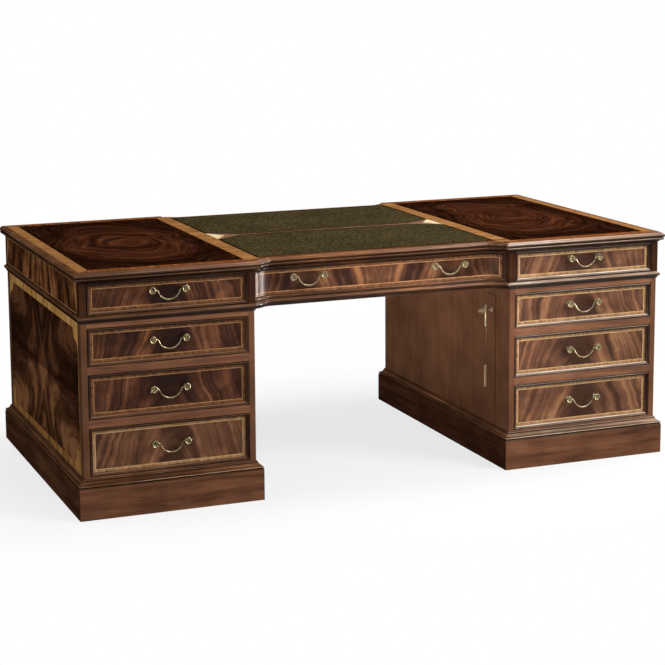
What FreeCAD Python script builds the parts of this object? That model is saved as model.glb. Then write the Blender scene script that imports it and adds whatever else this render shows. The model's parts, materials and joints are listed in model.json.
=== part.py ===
"""Mahogany pedestal desk with a leather top, nine drawers and a locking side flap.

X runs along the desk, -Y is the drawer side and +Z is up. The origin is on the floor under the middle.
All lengths are in millimetres.
"""
import FreeCAD
import Part
import Sketcher
import math
import os
import re

# Each driving size: its name in the sheet, its value and what it measures.
SIZES = [
    ("kneehole_width", 916, "clear width between the two pedestals"),
    ("pedestal_width", 571, "one pedestal, over its sides"),
    ("pedestal_depth", 1064, "one pedestal, front to rear"),
    ("side_board", 20, "pedestal side, whose front edge is the stile"),
    ("rear_board", 20, "fixed rear panel of a pedestal"),
    ("partition_board", 18, "partition behind the drawers"),
    ("lower_opening", 157, "height of the bottom drawer's opening"),
    ("middle_opening", 145, "height of the middle drawer's opening"),
    ("upper_opening", 122, "height of the upper drawer's opening"),
    ("rail_height", 26, "rail between two pedestal drawers"),
    ("bottom_rail", 4, "rail showing under the bottom drawer"),
    ("top_rail", 17, "rail over the upper drawer"),
    ("end_panel_margin", 37, "stile beside the veneered end panel"),
    ("end_panel_sill", 4, "rail under the veneered end panel"),
    ("end_panel_thickness", 4, "veneered end panel, let into the pedestal side"),
    ("plinth_height", 101, "flat part of the plinth"),
    ("plinth_projection", 21, "plinth beyond the pedestal"),
    ("plinth_seat", 20, "plinth frame reaching in under the pedestal"),
    ("plinth_moulding_height", 28, "moulding on the plinth"),
    ("waist_height", 23, "bead moulding under the frieze"),
    ("waist_projection", 7, "bead moulding beyond the frieze"),
    ("waist_rebate", 12, "bead moulding reaching in under the frieze"),
    ("frieze_step", 3, "frieze beyond the pedestal"),
    ("frieze_opening", 103, "height of the frieze drawers' openings"),
    ("kicker_board", 2, "board over the frieze drawers"),
    ("recess_return", 20, "square return where the set-back centre starts"),
    ("recess_depth", 48, "set-back of the centre of the frieze"),
    ("curve_run", 70, "length of the S-curve along the front"),
    ("top_thickness", 33, "top, over its moulded edge"),
    ("top_overhang", 18, "moulded edge beyond the frieze"),
    ("edge_rebate", 4, "moulded edge reaching in over the frieze"),
    ("band_width", 36, "crossbanding round the veneered ends of the top"),
    ("spine_band", 50, "crossbanding between a veneered end and the leather"),
    ("banding_thickness", 0.8, "crossbanding, which the core board is set down for"),
    ("veneer_thickness", 2, "veneered end panels of the top"),
    ("leather_length", 856, "leather, along the desk"),
    ("leather_margin", 5, "wood between the leather and the moulded edge"),
    ("leather_thickness", 2, "leather and the divider beside it"),
    ("divider_width", 18, "wooden strip between the two leathers"),
    ("flare_width", 150, "width of the strip's flared ends"),
    ("flare_length", 108, "length of the strip's flared ends"),
    ("inlay_length", 47, "pale point inlaid in a flared end"),
    ("inlay_border", 8, "wood left beside the pale point"),
    ("inlay_thickness", 1, "pale point"),
    ("drawer_gap", 1.5, "gap round a drawer front"),
    ("front_thickness", 22, "drawer front over its raised lip"),
    ("lip_depth", 12, "raised lip above the front's field"),
    ("lip_width", 9, "raised lip, over its moulding"),
    ("lip_flat", 2.5, "flat outer edge of the lip"),
    ("lip_step", 3, "step from the flat edge down to the moulding"),
    ("lip_round", 6, "rounding of the lip's moulding"),
    ("lip_land", 0.2, "least flat left beside the lip's rounding"),
    ("drawer_depth", 500, "box of a pedestal or side frieze drawer"),
    ("drawer_back_gap", 6, "room behind a drawer box"),
    ("centre_back_gap", 21, "room behind the centre drawer's box"),
    ("box_wall", 12, "sides and back of a drawer box"),
    ("box_bottom", 8, "bottom of a drawer box"),
    ("box_side_gap", 2, "running gap beside a drawer box"),
    ("box_top_gap", 15, "room over a drawer box"),
    ("runner_gap", 0.3, "running gap under a drawer box"),
    ("handle_span", 109, "between the two posts of a handle"),
    ("handle_rise", 9.5, "posts over the middle of a pedestal drawer"),
    ("frieze_handle_rise", 15.5, "posts over the middle of a frieze drawer"),
    ("centre_handle_inset", 131, "middle of a centre drawer's handle from the start of the S-curve"),
    ("foot_radius", 7.5, "round foot of a post"),
    ("foot_thickness", 2, "round foot of a post"),
    ("neck_radius", 4, "neck of a post"),
    ("rosette_radius", 12.3, "round head of a post"),
    ("rosette_thickness", 9, "round head of a post, front to rear"),
    ("rosette_ease", 2.2, "slope round the head's rims"),
    ("dish_radius", 8.4, "hollow in the front of the head"),
    ("dish_depth", 1.8, "hollow in the front of the head"),
    ("pivot_reach", 18, "bail's pivot in front of the drawer's field"),
    ("wire_radius", 2.1, "bail's round section"),
    ("pivot_clearance", 0.2, "bail's pin in its post"),
    ("bail_drop", 31, "bail's lowest point under its pivot"),
    ("bail_bend", 6, "radius of the bail's swan neck"),
    ("shoulder_gap", 0.5, "straight pin showing beside the post's head"),
    ("pin_recess", 3, "pin's end inside the outer rim of the post's head"),
    ("flap_setback", 102, "flap's opening behind the pedestal's front"),
    ("flap_width", 76, "width of the flap's opening"),
    ("flap_head", 37, "pedestal over the flap's opening"),
    ("flap_sill", 73, "flap's opening over the plinth moulding"),
    ("flap_thickness", 12, "locking flap"),
    ("flap_gap", 2, "gap round the locking flap"),
    ("flap_stop", 10, "ledge that the closed flap lies on"),
    ("hinge_height", 76, "butt hinge"),
    ("hinge_inset", 48, "butt hinge from the end of the flap's opening"),
    ("leaf_thickness", 1.2, "hinge leaf"),
    ("leaf_margin", 1, "flap's thickness beyond a hinge leaf"),
    ("leaf_play", 0.4, "between the two closed hinge leaves"),
    ("knuckle_radius", 3.2, "hinge knuckle"),
    ("knuckle_play", 0.3, "between two hinge knuckles"),
    ("pin_radius", 1.5, "hinge pin"),
    ("pin_play", 0.1, "hinge pin in the turning knuckle"),
    ("lock_drop", 58, "keyhole under the top of the flap's opening"),
    ("lock_setback", 33, "keyhole behind the flap's free edge"),
    ("escutcheon_radius", 8, "round plate at the keyhole"),
    ("escutcheon_thickness", 2, "round plate at the keyhole"),
    ("barrel_radius", 5, "lock barrel through the flap"),
    ("case_width", 28, "lock case behind the flap"),
    ("case_height", 40, "lock case behind the flap"),
    ("case_setback", 1, "lock case behind the pedestal side's inner face"),
    ("key_radius", 2.2, "key's stem"),
    ("key_clearance", 0.3, "key's stem in its barrel"),
    ("key_reach", 36, "key's stem in front of the flap"),
    ("bow_radius", 4, "each of the three rings of the key's bow"),
    ("bow_wire", 1.4, "half thickness of the key's bow"),
    ("bow_seat", 0.4, "side rings of the bow let into the stem"),
]

# Places and sizes that follow from the driving sizes.
WORKED_OUT = [
    ("pedestal_inner", "=kneehole_width / 2"),
    ("pedestal_outer", "=pedestal_inner + pedestal_width"),
    ("pedestal_middle", "=pedestal_inner + pedestal_width / 2"),
    ("pedestal_front", "=pedestal_depth / 2"),
    ("opening_width", "=pedestal_width - 2 * side_board"),
    ("opening_inner", "=pedestal_inner + side_board"),
    ("foot_level", "=plinth_height + plinth_moulding_height"),
    ("lower_floor", "=foot_level + bottom_rail"),
    ("middle_floor", "=lower_floor + lower_opening + rail_height"),
    ("upper_floor", "=middle_floor + middle_opening + rail_height"),
    ("upper_ceiling", "=upper_floor + upper_opening"),
    ("pedestal_top", "=upper_ceiling + top_rail"),
    ("frieze_floor", "=pedestal_top + waist_height"),
    ("frieze_ceiling", "=frieze_floor + frieze_opening"),
    ("frieze_top", "=frieze_ceiling + kicker_board"),
    ("desk_height", "=frieze_top + top_thickness"),
    ("frieze_outer", "=pedestal_outer + frieze_step"),
    ("frieze_inner", "=pedestal_inner - frieze_step"),
    ("frieze_front", "=pedestal_front + frieze_step"),
    ("centre_front", "=frieze_front - recess_depth"),
    ("curve_rise", "=recess_depth - recess_return"),
    ("curve_radius", "=(curve_run * curve_run + curve_rise * curve_rise) / (4 * curve_rise)"),
    ("partition_front", "=front_thickness + drawer_depth + drawer_back_gap - pedestal_front"),
    ("centre_depth", "=partition_front + centre_front - front_thickness - centre_back_gap"),
    ("centre_handle_offset", "=frieze_inner - curve_run - centre_handle_inset"),
    ("head_rear", "=pivot_reach - rosette_thickness / 2"),
    ("head_front", "=pivot_reach + rosette_thickness / 2"),
    ("bail_shoulder", "=rosette_radius + shoulder_gap"),
    ("bail_pin_end", "=rosette_radius - pin_recess"),
    ("leather_front", "=centre_front - edge_rebate - leather_margin"),
    ("veneer_inner", "=leather_length / 2 + spine_band"),
    ("veneer_outer", "=frieze_outer - edge_rebate - band_width"),
    ("veneer_front", "=frieze_front - edge_rebate - band_width"),
    ("flap_front", "=pedestal_front - flap_setback"),
    ("flap_rear", "=flap_front - flap_width"),
    ("flap_floor", "=foot_level + flap_sill"),
    ("flap_ceiling", "=pedestal_top - flap_head"),
    ("flap_height", "=flap_ceiling - flap_floor"),
    ("leaf_width", "=flap_thickness - leaf_margin"),
    ("hinge_slot", "=2 * leaf_thickness + leaf_play"),
    ("hinge_axis_x", "=pedestal_inner - knuckle_radius"),
    ("hinge_axis_y", "=-flap_rear - hinge_slot / 2"),
    ("key_y", "=lock_setback - flap_front"),
    ("key_z", "=flap_ceiling - lock_drop"),
    ("case_depth", "=side_board - flap_thickness - case_setback"),
]

doc = FreeCAD.newDocument("pedestal_desk")
sheet = doc.addObject("Spreadsheet::Sheet", "Size")
for row, (alias, number, meaning) in enumerate(SIZES, start=1):
    sheet.set(f"A{row}", meaning)
    sheet.set(f"B{row}", str(number))
    sheet.setAlias(f"B{row}", alias)
for row, (alias, formula) in enumerate(WORKED_OUT, start=1):
    sheet.set(f"D{row}", formula)
    sheet.setAlias(f"D{row}", alias)
doc.recompute()

subparts = []


def cell(expression):
    """Point each of the sheet's names in an expression at the sheet."""
    return re.sub(r"\b[a-z]+_[a-z_]+\b", r"Size.\g<0>", expression)


def value(expression):
    """Work out an expression of the sheet's names."""
    return float(sheet.evalExpression(cell(expression)))


def point(x, y, z=0.0):
    """Make a point."""
    return FreeCAD.Vector(x, y, z)


def finish(part, label):
    """Name a finished sub-part and keep it for writing."""
    part.Label = label
    subparts.append(part)
    return part


def place(part, low):
    """Bind the place of an object to three expressions."""
    for axis, expression in zip("xyz", low):
        part.setExpression(f"Placement.Base.{axis}", cell(expression))
    return part


def board(name, low, size):
    """Make a board from its low corner and its size along X, Y and Z."""
    part = doc.addObject("Part::Box", name)
    for side, expression in zip(("Length", "Width", "Height"), size):
        part.setExpression(side, cell(expression))
    return place(part, low)


def rod(name, low, radius, length, along=None):
    """Make a round rod from the centre of its low end, along +Z or turned along another axis."""
    part = doc.addObject("Part::Cylinder", name)
    part.setExpression("Radius", cell(radius))
    part.setExpression("Height", cell(length))
    if along:
        part.Placement.Rotation = FreeCAD.Rotation(FreeCAD.Vector(0, 0, 1), FreeCAD.Vector(*along))
    return place(part, low)


def fuse(name, parts):
    """Join several solids into one."""
    joined = doc.addObject("Part::MultiFuse", name)
    joined.Shapes = parts
    joined.Refine = True
    return joined


def cut(name, base, tool):
    """Take one solid out of another."""
    rest = doc.addObject("Part::Cut", name)
    rest.Base = base
    rest.Tool = tool
    rest.Refine = True
    return rest


def fixed(name, shape):
    """Hold a shape that is worked out from the sheet's sizes."""
    part = doc.addObject("Part::Feature", name)
    part.Shape = shape
    return part


def sketch_in(body, plane, name, height="0"):
    """Start a sketch on one of a body's own planes, raised along the plane's normal."""
    sketch = body.newObject("Sketcher::SketchObject", name)
    support = next(part for part in body.Origin.OriginFeatures if part.Role == plane)
    sketch.AttachmentSupport = [(support, "")]
    sketch.MapMode = "FlatFace"
    sketch.setExpression("AttachmentOffset.Base.z", cell(height))
    return sketch


def dimension(sketch, kind, first, second, expression):
    """Add a dimension to a sketch and bind it to an expression."""
    places = first + second if second else first
    index = sketch.addConstraint(Sketcher.Constraint(kind, *places, value(expression)))
    sketch.setExpression(f"Constraints[{index}]", cell(expression))


def polygon(sketch, corners):
    """Draw a closed outline through corners given as pairs of expressions."""
    spots = [point(value(x), value(y)) for x, y in corners]
    start = sketch.GeometryCount
    count = len(spots)
    for index in range(count):
        sketch.addGeometry(Part.LineSegment(spots[index], spots[(index + 1) % count]))
    for index in range(count):
        following = start + (index + 1) % count
        sketch.addConstraint(Sketcher.Constraint("Coincident", start + index, 2, following, 1))
    for index, (x, y) in enumerate(corners):
        dimension(sketch, "DistanceX", (-1, 1), (start + index, 1), x)
        dimension(sketch, "DistanceY", (-1, 1), (start + index, 1), y)


def rectangle(sketch, left, low, right, high):
    """Draw a rectangle between four expressions."""
    polygon(sketch, [(left, low), (right, low), (right, high), (left, high)])


def circle(sketch, x, y, radius):
    """Draw a circle from three expressions."""
    index = sketch.addGeometry(Part.Circle(point(value(x), value(y)), point(0, 0, 1), value(radius)))
    dimension(sketch, "DistanceX", (-1, 1), (index, 3), x)
    dimension(sketch, "DistanceY", (-1, 1), (index, 3), y)
    dimension(sketch, "Radius", (index,), None, radius)


def pad(body, sketch, length):
    """Raise a sketch into a solid."""
    feature = body.newObject("PartDesign::Pad", "Pad")
    feature.Profile = sketch
    feature.setExpression("Length", cell(length))
    return feature


def pocket(body, sketch, depth):
    """Sink a sketch into the solid under it, and make sure that it cuts."""
    doc.recompute()
    before = body.Shape.Volume
    feature = body.newObject("PartDesign::Pocket", "Pocket")
    feature.Profile = sketch
    feature.setExpression("Length", cell(depth))
    doc.recompute()
    if body.Shape.Volume >= before:
        raise RuntimeError(f"{body.Name}: a pocket cuts nothing")
    return feature


def plate(label, corners, low, thickness):
    """Make a flat plate from its outline, its level and its thickness."""
    body = doc.addObject("PartDesign::Body", label)
    sketch = sketch_in(body, "XY_Plane", "Outline")
    polygon(sketch, corners)
    pad(body, sketch, thickness)
    return finish(place(body, ("0", "0", low)), label)


# The plan of the frieze: straight over the pedestals, set back between S-curves in the middle.

def curve_centres():
    """Give the centres of the two arcs of the S-curve at the front right."""
    inner = value("frieze_inner")
    radius = value("curve_radius")
    convex = (inner, -value("frieze_front - recess_return") + radius)
    hollow = (inner - value("curve_run"), -value("centre_front") - radius)
    return convex, hollow, radius


def s_curve(offset, end):
    """Give the S-curve's points and arc middles, from the set-back middle out to x = end.

    The plan is moved outwards by offset. Points and arc middles take turns in the list.
    """
    (convex_x, convex_y), (hollow_x, hollow_y), radius = curve_centres()
    swing = 2 * math.atan(value("curve_rise / curve_run"))
    outer = radius + offset
    inner = radius - offset
    start = math.asin(max(convex_x - end, 0.0) / outer)

    def on_convex(angle):
        return (convex_x - outer * math.sin(angle), convex_y - outer * math.cos(angle))

    def on_hollow(angle):
        return (hollow_x + inner * math.sin(angle), hollow_y + inner * math.cos(angle))

    return [on_hollow(0), on_hollow(swing / 2), on_hollow(swing),
            on_convex((swing + start) / 2), on_convex(start)]


def closed_wire(path, level):
    """Join a closed list of points, with an arc's middle or None between two of them, at a level."""
    edges = []
    for index in range(0, len(path), 2):
        first = point(*path[index], level)
        last = point(*path[(index + 2) % len(path)], level)
        middle = path[index + 1]
        line = Part.Arc(first, point(*middle, level), last) if middle else Part.LineSegment(first, last)
        edges.append(line.toShape())
    return Part.Wire(edges)


def turned(path, along, across):
    """Mirror or turn a path about the middle of the desk."""
    return [spot and (spot[0] * along, spot[1] * across) for spot in path]


def plan_wire(offset, level):
    """Draw the frieze's plan, moved outwards by offset, at a level."""
    corner = value("frieze_inner") - offset
    front = -value("frieze_front") - offset
    quarter = s_curve(offset, corner)
    if offset < 0:
        quarter += [None, (corner, quarter[-1][1])]
    quarter += [None, (corner, front), None, (value("frieze_outer") + offset, front)]
    path = quarter + [None] + turned(quarter, 1, -1)[::-1] + [None]
    path += turned(quarter, -1, -1) + [None] + turned(quarter, -1, 1)[::-1] + [None]
    return closed_wire(path, level)


def plan_board(name, offset, low, thickness):
    """Make a board with the frieze's plan, moved outwards by offset."""
    face = fixed(name + "_plan", Part.Face(plan_wire(offset, value(low))))
    part = doc.addObject("Part::Extrusion", name)
    part.Base = face
    part.DirMode = "Custom"
    part.Dir = point(0, 0, 1)
    part.Solid = True
    part.setExpression("LengthFwd", cell(thickness))
    return part


def box_wire(low, high, offset, level):
    """Draw a rectangle between two corners, moved outwards by offset, at a level."""
    left, front = low[0] - offset, low[1] - offset
    right, rear = high[0] + offset, high[1] + offset
    return closed_wire([(left, front), None, (right, front), None,
                        (right, rear), None, (left, rear), None], level)


def ring(label, wire_at, inside, profile):
    """Make a mitred moulding round an outline.

    wire_at draws the outline at an offset and a level, inside is the ring's inner offset, and profile
    lists the moulding's offsets and levels from its foot up.
    """
    solid = Part.makeLoft([wire_at(offset, level) for offset, level in profile], True, True)
    foot, head = profile[0][1], profile[-1][1]
    core = Part.Face(wire_at(inside, foot)).extrude(point(0, 0, head - foot))
    return finish(fixed(label, solid.cut(core)), label)


def bead(centre, radius, reach, steps):
    """Give the points of a half-round bead, from its lower quirk to its upper one."""
    offset, level = centre
    angles = [math.pi * (index / steps - 0.5) for index in range(steps + 1)]
    return [(offset + reach * math.cos(angle), level + radius * math.sin(angle)) for angle in angles]


# The top.

def make_top():
    """Make the core board, its moulded edge, the veneered ends, the leathers and their divider."""
    floor = value("frieze_top")
    tip = value("top_overhang")
    tall = value("top_thickness")
    cove = [(tip * 0.17, floor), (tip * 0.2, floor + tall * 0.06), (tip * 0.36, floor + tall * 0.12),
            (tip * 0.6, floor + tall * 0.19)]
    lower = bead((tip * 0.67, floor + tall * 0.32), tall * 0.12, tip * 0.19, 6)
    upper = bead((tip * 0.67, floor + tall * 0.65), tall * 0.2, tip * 0.33, 8)
    shoulder = [(tip * 0.61, floor + tall * 0.87), (tip * 0.56, floor + tall * 0.94),
                (tip * 0.42, floor + tall * 0.985), (tip * 0.22, floor + tall)]
    ring("top_edge_moulding", plan_wire, -value("edge_rebate"), cove + lower + upper + shoulder)

    core = plan_board("top_core", -value("edge_rebate"), "frieze_top", "top_thickness - banding_thickness")
    level = "desk_height - leather_thickness"
    wells = [board("leather_well", ("-leather_length / 2", "-leather_front", level),
                   ("leather_length", "2 * leather_front", "leather_thickness"))]
    veneer_size = ("veneer_outer - veneer_inner", "2 * veneer_front", "veneer_thickness")
    veneer_level = "desk_height - veneer_thickness"
    for side, left in (("left", "-veneer_outer"), ("right", "veneer_inner")):
        corner = (left, "-veneer_front", veneer_level)
        wells.append(board(f"{side}_veneer_well", corner, veneer_size))
        finish(board(f"{side}_veneer", corner, veneer_size), f"{side}_top_veneer")
    finish(cut("top_board", core, fuse("top_wells", wells)), "top_board")

    end = "leather_length / 2"
    neck = "leather_length / 2 - flare_length"
    strip = "divider_width / 2"
    flare = "flare_width / 2"
    for name, side in (("front", "-"), ("rear", "")):
        corners = [(f"-({end})", f"{side}leather_front"), (f"-({end})", f"{side}{flare}"),
                   (f"-({neck})", f"{side}{strip}"), (neck, f"{side}{strip}"),
                   (end, f"{side}{flare}"), (end, f"{side}leather_front")]
        plate(f"{name}_leather", corners, level, "leather_thickness")
    half = [(f"-({end})", f"-{flare}"), (f"-({neck})", f"-{strip}"), (neck, f"-{strip}"), (end, f"-{flare}")]
    back = [(x, y[1:]) for x, y in reversed(half)]
    divider = doc.addObject("PartDesign::Body", "divider")
    sketch = sketch_in(divider, "XY_Plane", "Outline")
    polygon(sketch, half + back)
    pad(divider, sketch, "leather_thickness")
    wells = sketch_in(divider, "XY_Plane", "Inlays", "leather_thickness")
    points = []
    for side in ("-", ""):
        base = f"{side}({end} - inlay_border / 2)"
        half_base = "(flare_width / 2 - inlay_border)"
        tip_x = f"{side}({end} - inlay_border / 2 - inlay_length)"
        points.append([(base, f"-{half_base}"), (tip_x, "0"), (base, half_base)])
        polygon(wells, points[-1])
    pocket(divider, wells, "inlay_thickness")
    finish(place(divider, ("0", "0", level)), "leather_divider")
    inlays = []
    for side, corners in zip(("left", "right"), points):
        body = doc.addObject("PartDesign::Body", f"{side}_inlay")
        sketch = sketch_in(body, "XY_Plane", "Outline")
        polygon(sketch, corners)
        pad(body, sketch, "inlay_thickness")
        inlays.append(place(body, ("0", "0", "desk_height - inlay_thickness")))
    pair = doc.addObject("Part::Compound", "inlays")
    pair.Links = inlays
    finish(pair, "divider_inlays")


# The frieze and the moulding under it.

def make_frieze():
    """Make the frieze's frame with its three drawer compartments, and the waist moulding."""
    floor = plan_board("frieze_base", -value("waist_rebate"), "pedestal_top", "waist_height")
    walls = plan_board("frieze_walls", 0.0, "frieze_floor", "frieze_opening + kicker_board")
    rear_start = "partition_front + partition_board"
    rear_depth = f"frieze_front - side_board - frieze_step - ({rear_start})"
    centre_rear = f"centre_front - side_board - frieze_step - ({rear_start})"
    spaces = [
        board("centre_space", ("-frieze_inner", "-frieze_front", "frieze_floor"),
              ("2 * frieze_inner", "frieze_front + partition_front", "frieze_opening")),
        board("centre_void", ("-frieze_inner + side_board", rear_start, "frieze_floor"),
              ("2 * (frieze_inner - side_board)", centre_rear, "frieze_opening + kicker_board")),
    ]
    for side, left in (("left", "-opening_inner - opening_width"), ("right", "opening_inner")):
        spaces.append(board(f"{side}_space", (left, "-frieze_front", "frieze_floor"),
                            ("opening_width", "frieze_front + partition_front", "frieze_opening")))
        spaces.append(board(f"{side}_void", (left, rear_start, "frieze_floor"),
                            ("opening_width", rear_depth, "frieze_opening + kicker_board")))
    block = fuse("frieze_block", [floor, walls])
    finish(cut("frieze_frame", block, fuse("frieze_spaces", spaces)), "frieze_frame")

    low = value("pedestal_top")
    tall = value("waist_height")
    tip = value("waist_projection")
    foot = [(0.0, low), (tip * 0.1, low + tall * 0.14), (tip * 0.25, low + tall * 0.26)]
    round_bead = bead((tip * 0.4, low + tall * 0.57), tall * 0.26, tip * 0.6, 8)
    head = [(tip * 0.28, low + tall * 0.87), (tip * 0.12, low + tall)]
    ring("waist_moulding", plan_wire, -value("waist_rebate"), foot + round_bead + head)


# The pedestals and their plinths.

def make_pedestal(side, left):
    """Make one pedestal's carcass, its veneered end panel, its plinth and the plinth's moulding.

    left is the expression for the pedestal's lowest x.
    """
    height = "pedestal_top - plinth_height"
    inside = f"{left} + side_board"
    front = "-pedestal_front"
    drawer_space = "pedestal_front + partition_front"
    boards = [
        board(f"{side}_low_side", (left, front, "plinth_height"), ("side_board", "pedestal_depth", height)),
        board(f"{side}_high_side", (f"{left} + pedestal_width - side_board", front, "plinth_height"),
              ("side_board", "pedestal_depth", height)),
        board(f"{side}_floor", (inside, front, "plinth_height"),
              ("opening_width", "pedestal_depth", "plinth_moulding_height + bottom_rail")),
        board(f"{side}_ceiling", (inside, front, "upper_ceiling"),
              ("opening_width", "pedestal_depth", "top_rail")),
        board(f"{side}_rear", (inside, "pedestal_front - rear_board", "plinth_height"),
              ("opening_width", "rear_board", height)),
        board(f"{side}_partition", (inside, "partition_front", "plinth_height"),
              ("opening_width", "partition_board", height)),
    ]
    for name, level in (("low_rail", "middle_floor"), ("high_rail", "upper_floor")):
        boards.append(board(f"{side}_{name}", (inside, front, f"{level} - rail_height"),
                            ("opening_width", drawer_space, "rail_height")))
    wells = []
    outer = left if side == "left" else f"{left} + pedestal_width - end_panel_thickness"
    panel_low = (outer, "end_panel_margin - pedestal_front", "foot_level + end_panel_sill")
    panel_size = ("end_panel_thickness", "pedestal_depth - 2 * end_panel_margin",
                  "pedestal_top - foot_level - end_panel_sill")
    wells.append(board(f"{side}_panel_well", panel_low, panel_size))
    finish(board(f"{side}_panel", panel_low, panel_size), f"{side}_end_panel")
    if side == "right":
        wells.append(board("flap_well", (left, "-flap_front", "flap_floor"),
                           ("flap_thickness", "flap_width", "flap_height")))
        wells.append(board("flap_hole", (left, "-flap_front + flap_stop", "flap_floor + flap_stop"),
                           ("side_board", "flap_width - 2 * flap_stop", "flap_height - 2 * flap_stop")))
    carcass = fuse(f"{side}_carcass", boards)
    sunk = fuse(f"{side}_wells", wells) if len(wells) > 1 else wells[0]
    finish(cut(f"{side}_carcass_cut", carcass, sunk), f"{side}_pedestal")

    block = board(f"{side}_plinth_block",
                  (f"{left} - plinth_projection", "-pedestal_front - plinth_projection", "0"),
                  ("pedestal_width + 2 * plinth_projection", "pedestal_depth + 2 * plinth_projection",
                   "plinth_height"))
    hollow = board(f"{side}_plinth_hollow", (f"{left} + plinth_seat", "plinth_seat - pedestal_front", "0"),
                   ("pedestal_width - 2 * plinth_seat", "pedestal_depth - 2 * plinth_seat", "plinth_height"))
    finish(cut(f"{side}_plinth", block, hollow), f"{side}_plinth")

    low = (value(left), -value("pedestal_front"))
    high = (value(f"{left} + pedestal_width"), value("pedestal_front"))
    foot = value("plinth_height")
    tall = value("plinth_moulding_height")
    reach = value("plinth_projection")
    profile = [(reach, foot), (reach, foot + tall * 0.07), (reach * 0.93, foot + tall * 0.1)]
    profile += bead((reach * 0.62, foot + tall * 0.28), tall * 0.16, reach * 0.33, 6)
    profile += [(reach * 0.52, foot + tall * 0.5), (reach * 0.36, foot + tall * 0.62),
                (reach * 0.27, foot + tall * 0.76)]
    profile += bead((reach * 0.1, foot + tall * 0.88), tall * 0.09, reach * 0.14, 6)
    profile += [(reach * 0.05, foot + tall)]
    ring(f"{side}_plinth_moulding", lambda offset, level: box_wire(low, high, offset, level), 0.0, profile)


# The drawers and their handles.

# The lip's rounding, limited by the wall that it is cut from.
LIP_RADIUS = "min(lip_round; lip_width - lip_flat - lip_land; lip_depth - lip_step - lip_land)"


def lip_edges(shape, corners):
    """Number the edges of a shape that run between two of the given corners."""
    def is_corner(vertex):
        return any((vertex.Point - corner).Length < 1e-4 for corner in corners)

    return [index for index, edge in enumerate(shape.Edges, start=1) if all(map(is_corner, edge.Vertexes))]


def straight_front(label, low, height):
    """Make a straight drawer front with a raised moulded lip round a sunken field.

    low is the place of the middle of the front's foot, at the back of the board.
    """
    body = doc.addObject("PartDesign::Body", label)
    half = "(opening_width / 2 - drawer_gap)"
    inset = value("lip_width")
    outline = sketch_in(body, "XZ_Plane", "Outline")
    rectangle(outline, f"-{half}", "0", half, height)
    pad(body, outline, "front_thickness")
    for name, margin, depth in (("Step", "lip_flat", "lip_step"), ("Field", "lip_width", "lip_depth")):
        sunk = sketch_in(body, "XZ_Plane", name, "front_thickness")
        rectangle(sunk, f"-{half} + {margin}", margin, f"{half} - {margin}", f"{height} - {margin}")
        pocket(body, sunk, depth)
    end = value(half) - inset
    level = value("lip_step - front_thickness")
    corners = [point(x, level, z) for x in (-end, end) for z in (inset, value(height) - inset)]
    base = body.Tip
    fillet = body.newObject("PartDesign::Fillet", "LipRound")
    fillet.Base = (base, [f"Edge{index}" for index in lip_edges(base.Shape, corners)])
    fillet.setExpression("Radius", cell(LIP_RADIUS))
    return finish(place(body, low), label)


def centre_region(offset, end, back):
    """Draw the plan between the centre's S-curved front, moved by offset, and a straight line."""
    curve = s_curve(offset, end)
    path = curve + [None, (end, back), None, (-end, back), None] + turned(curve, -1, 1)[::-1] + [None]
    return closed_wire(path, 0.0)


def centre_front(label, height):
    """Make the long centre drawer front, whose lip and field follow the S-curves at its ends."""
    end = value("frieze_inner - drawer_gap")
    back = -value("centre_front - front_thickness")
    outside = -value("frieze_front + front_thickness")
    solid = Part.Face(centre_region(0.0, end, back)).extrude(point(0, 0, height))
    for inset, depth in (("lip_flat", "lip_step"), ("lip_width", "lip_depth")):
        margin = value(inset)
        sunk = Part.Face(centre_region(-value(depth), end - margin, outside))
        sunk.translate(point(0, 0, margin))
        solid = solid.cut(sunk.extrude(point(0, 0, height - 2 * margin)))
    inset = value("lip_width")
    curve = s_curve(-value("lip_step"), end - inset)[::2]
    corners = [point(side * x, y, z) for x, y in curve for side in (-1, 1) for z in (inset, height - inset)]
    edges = [solid.Edges[index - 1] for index in lip_edges(solid, corners)]
    part = finish(fixed(label, solid.makeFillet(value(LIP_RADIUS), edges)), label)
    return place(part, ("0", "0", "frieze_floor + drawer_gap"))


def drawer_box(label, low, size):
    """Make an open drawer box from its low corner and its size."""
    outer = board(label + "_block", low, size)
    inner_low = [f"{low[0]} + box_wall", f"{low[1]} + box_wall", f"{low[2]} + box_bottom"]
    inner_size = [f"{size[0]} - 2 * box_wall", f"{size[1]} - 2 * box_wall", f"{size[2]} - box_bottom"]
    return finish(cut(label, outer, board(label + "_inside", inner_low, inner_size)), label)


def make_post():
    """Turn one post with its round dished head, standing on the drawer's field at the origin."""
    body = doc.addObject("PartDesign::Body", "post")
    sketch = sketch_in(body, "XY_Plane", "Profile")
    polygon(sketch, [
        ("0", "0"), ("foot_radius", "0"), ("foot_radius", "-foot_thickness"),
        ("neck_radius", "-2 * foot_thickness"), ("neck_radius", "-head_rear"),
        ("rosette_radius - rosette_ease", "-head_rear"), ("rosette_radius", "-head_rear - rosette_ease"),
        ("rosette_radius", "rosette_ease - head_front"), ("rosette_radius - rosette_ease", "-head_front"),
        ("dish_radius", "-head_front"), ("dish_radius - dish_depth", "dish_depth - head_front"),
        ("0", "dish_depth - head_front"),
    ])
    turn = body.newObject("PartDesign::Revolution", "Turned")
    turn.Profile = sketch
    turn.ReferenceAxis = (sketch, ["V_Axis"])
    turn.Angle = 360
    hole = sketch_in(body, "YZ_Plane", "PinHole")
    circle(hole, "-pivot_reach", "0", "wire_radius + pivot_clearance")
    doc.recompute()
    drill = body.newObject("PartDesign::Pocket", "Drilled")
    drill.Profile = hole
    drill.Midplane = True
    drill.Type = "ThroughAll"
    doc.recompute()
    return body


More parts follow.
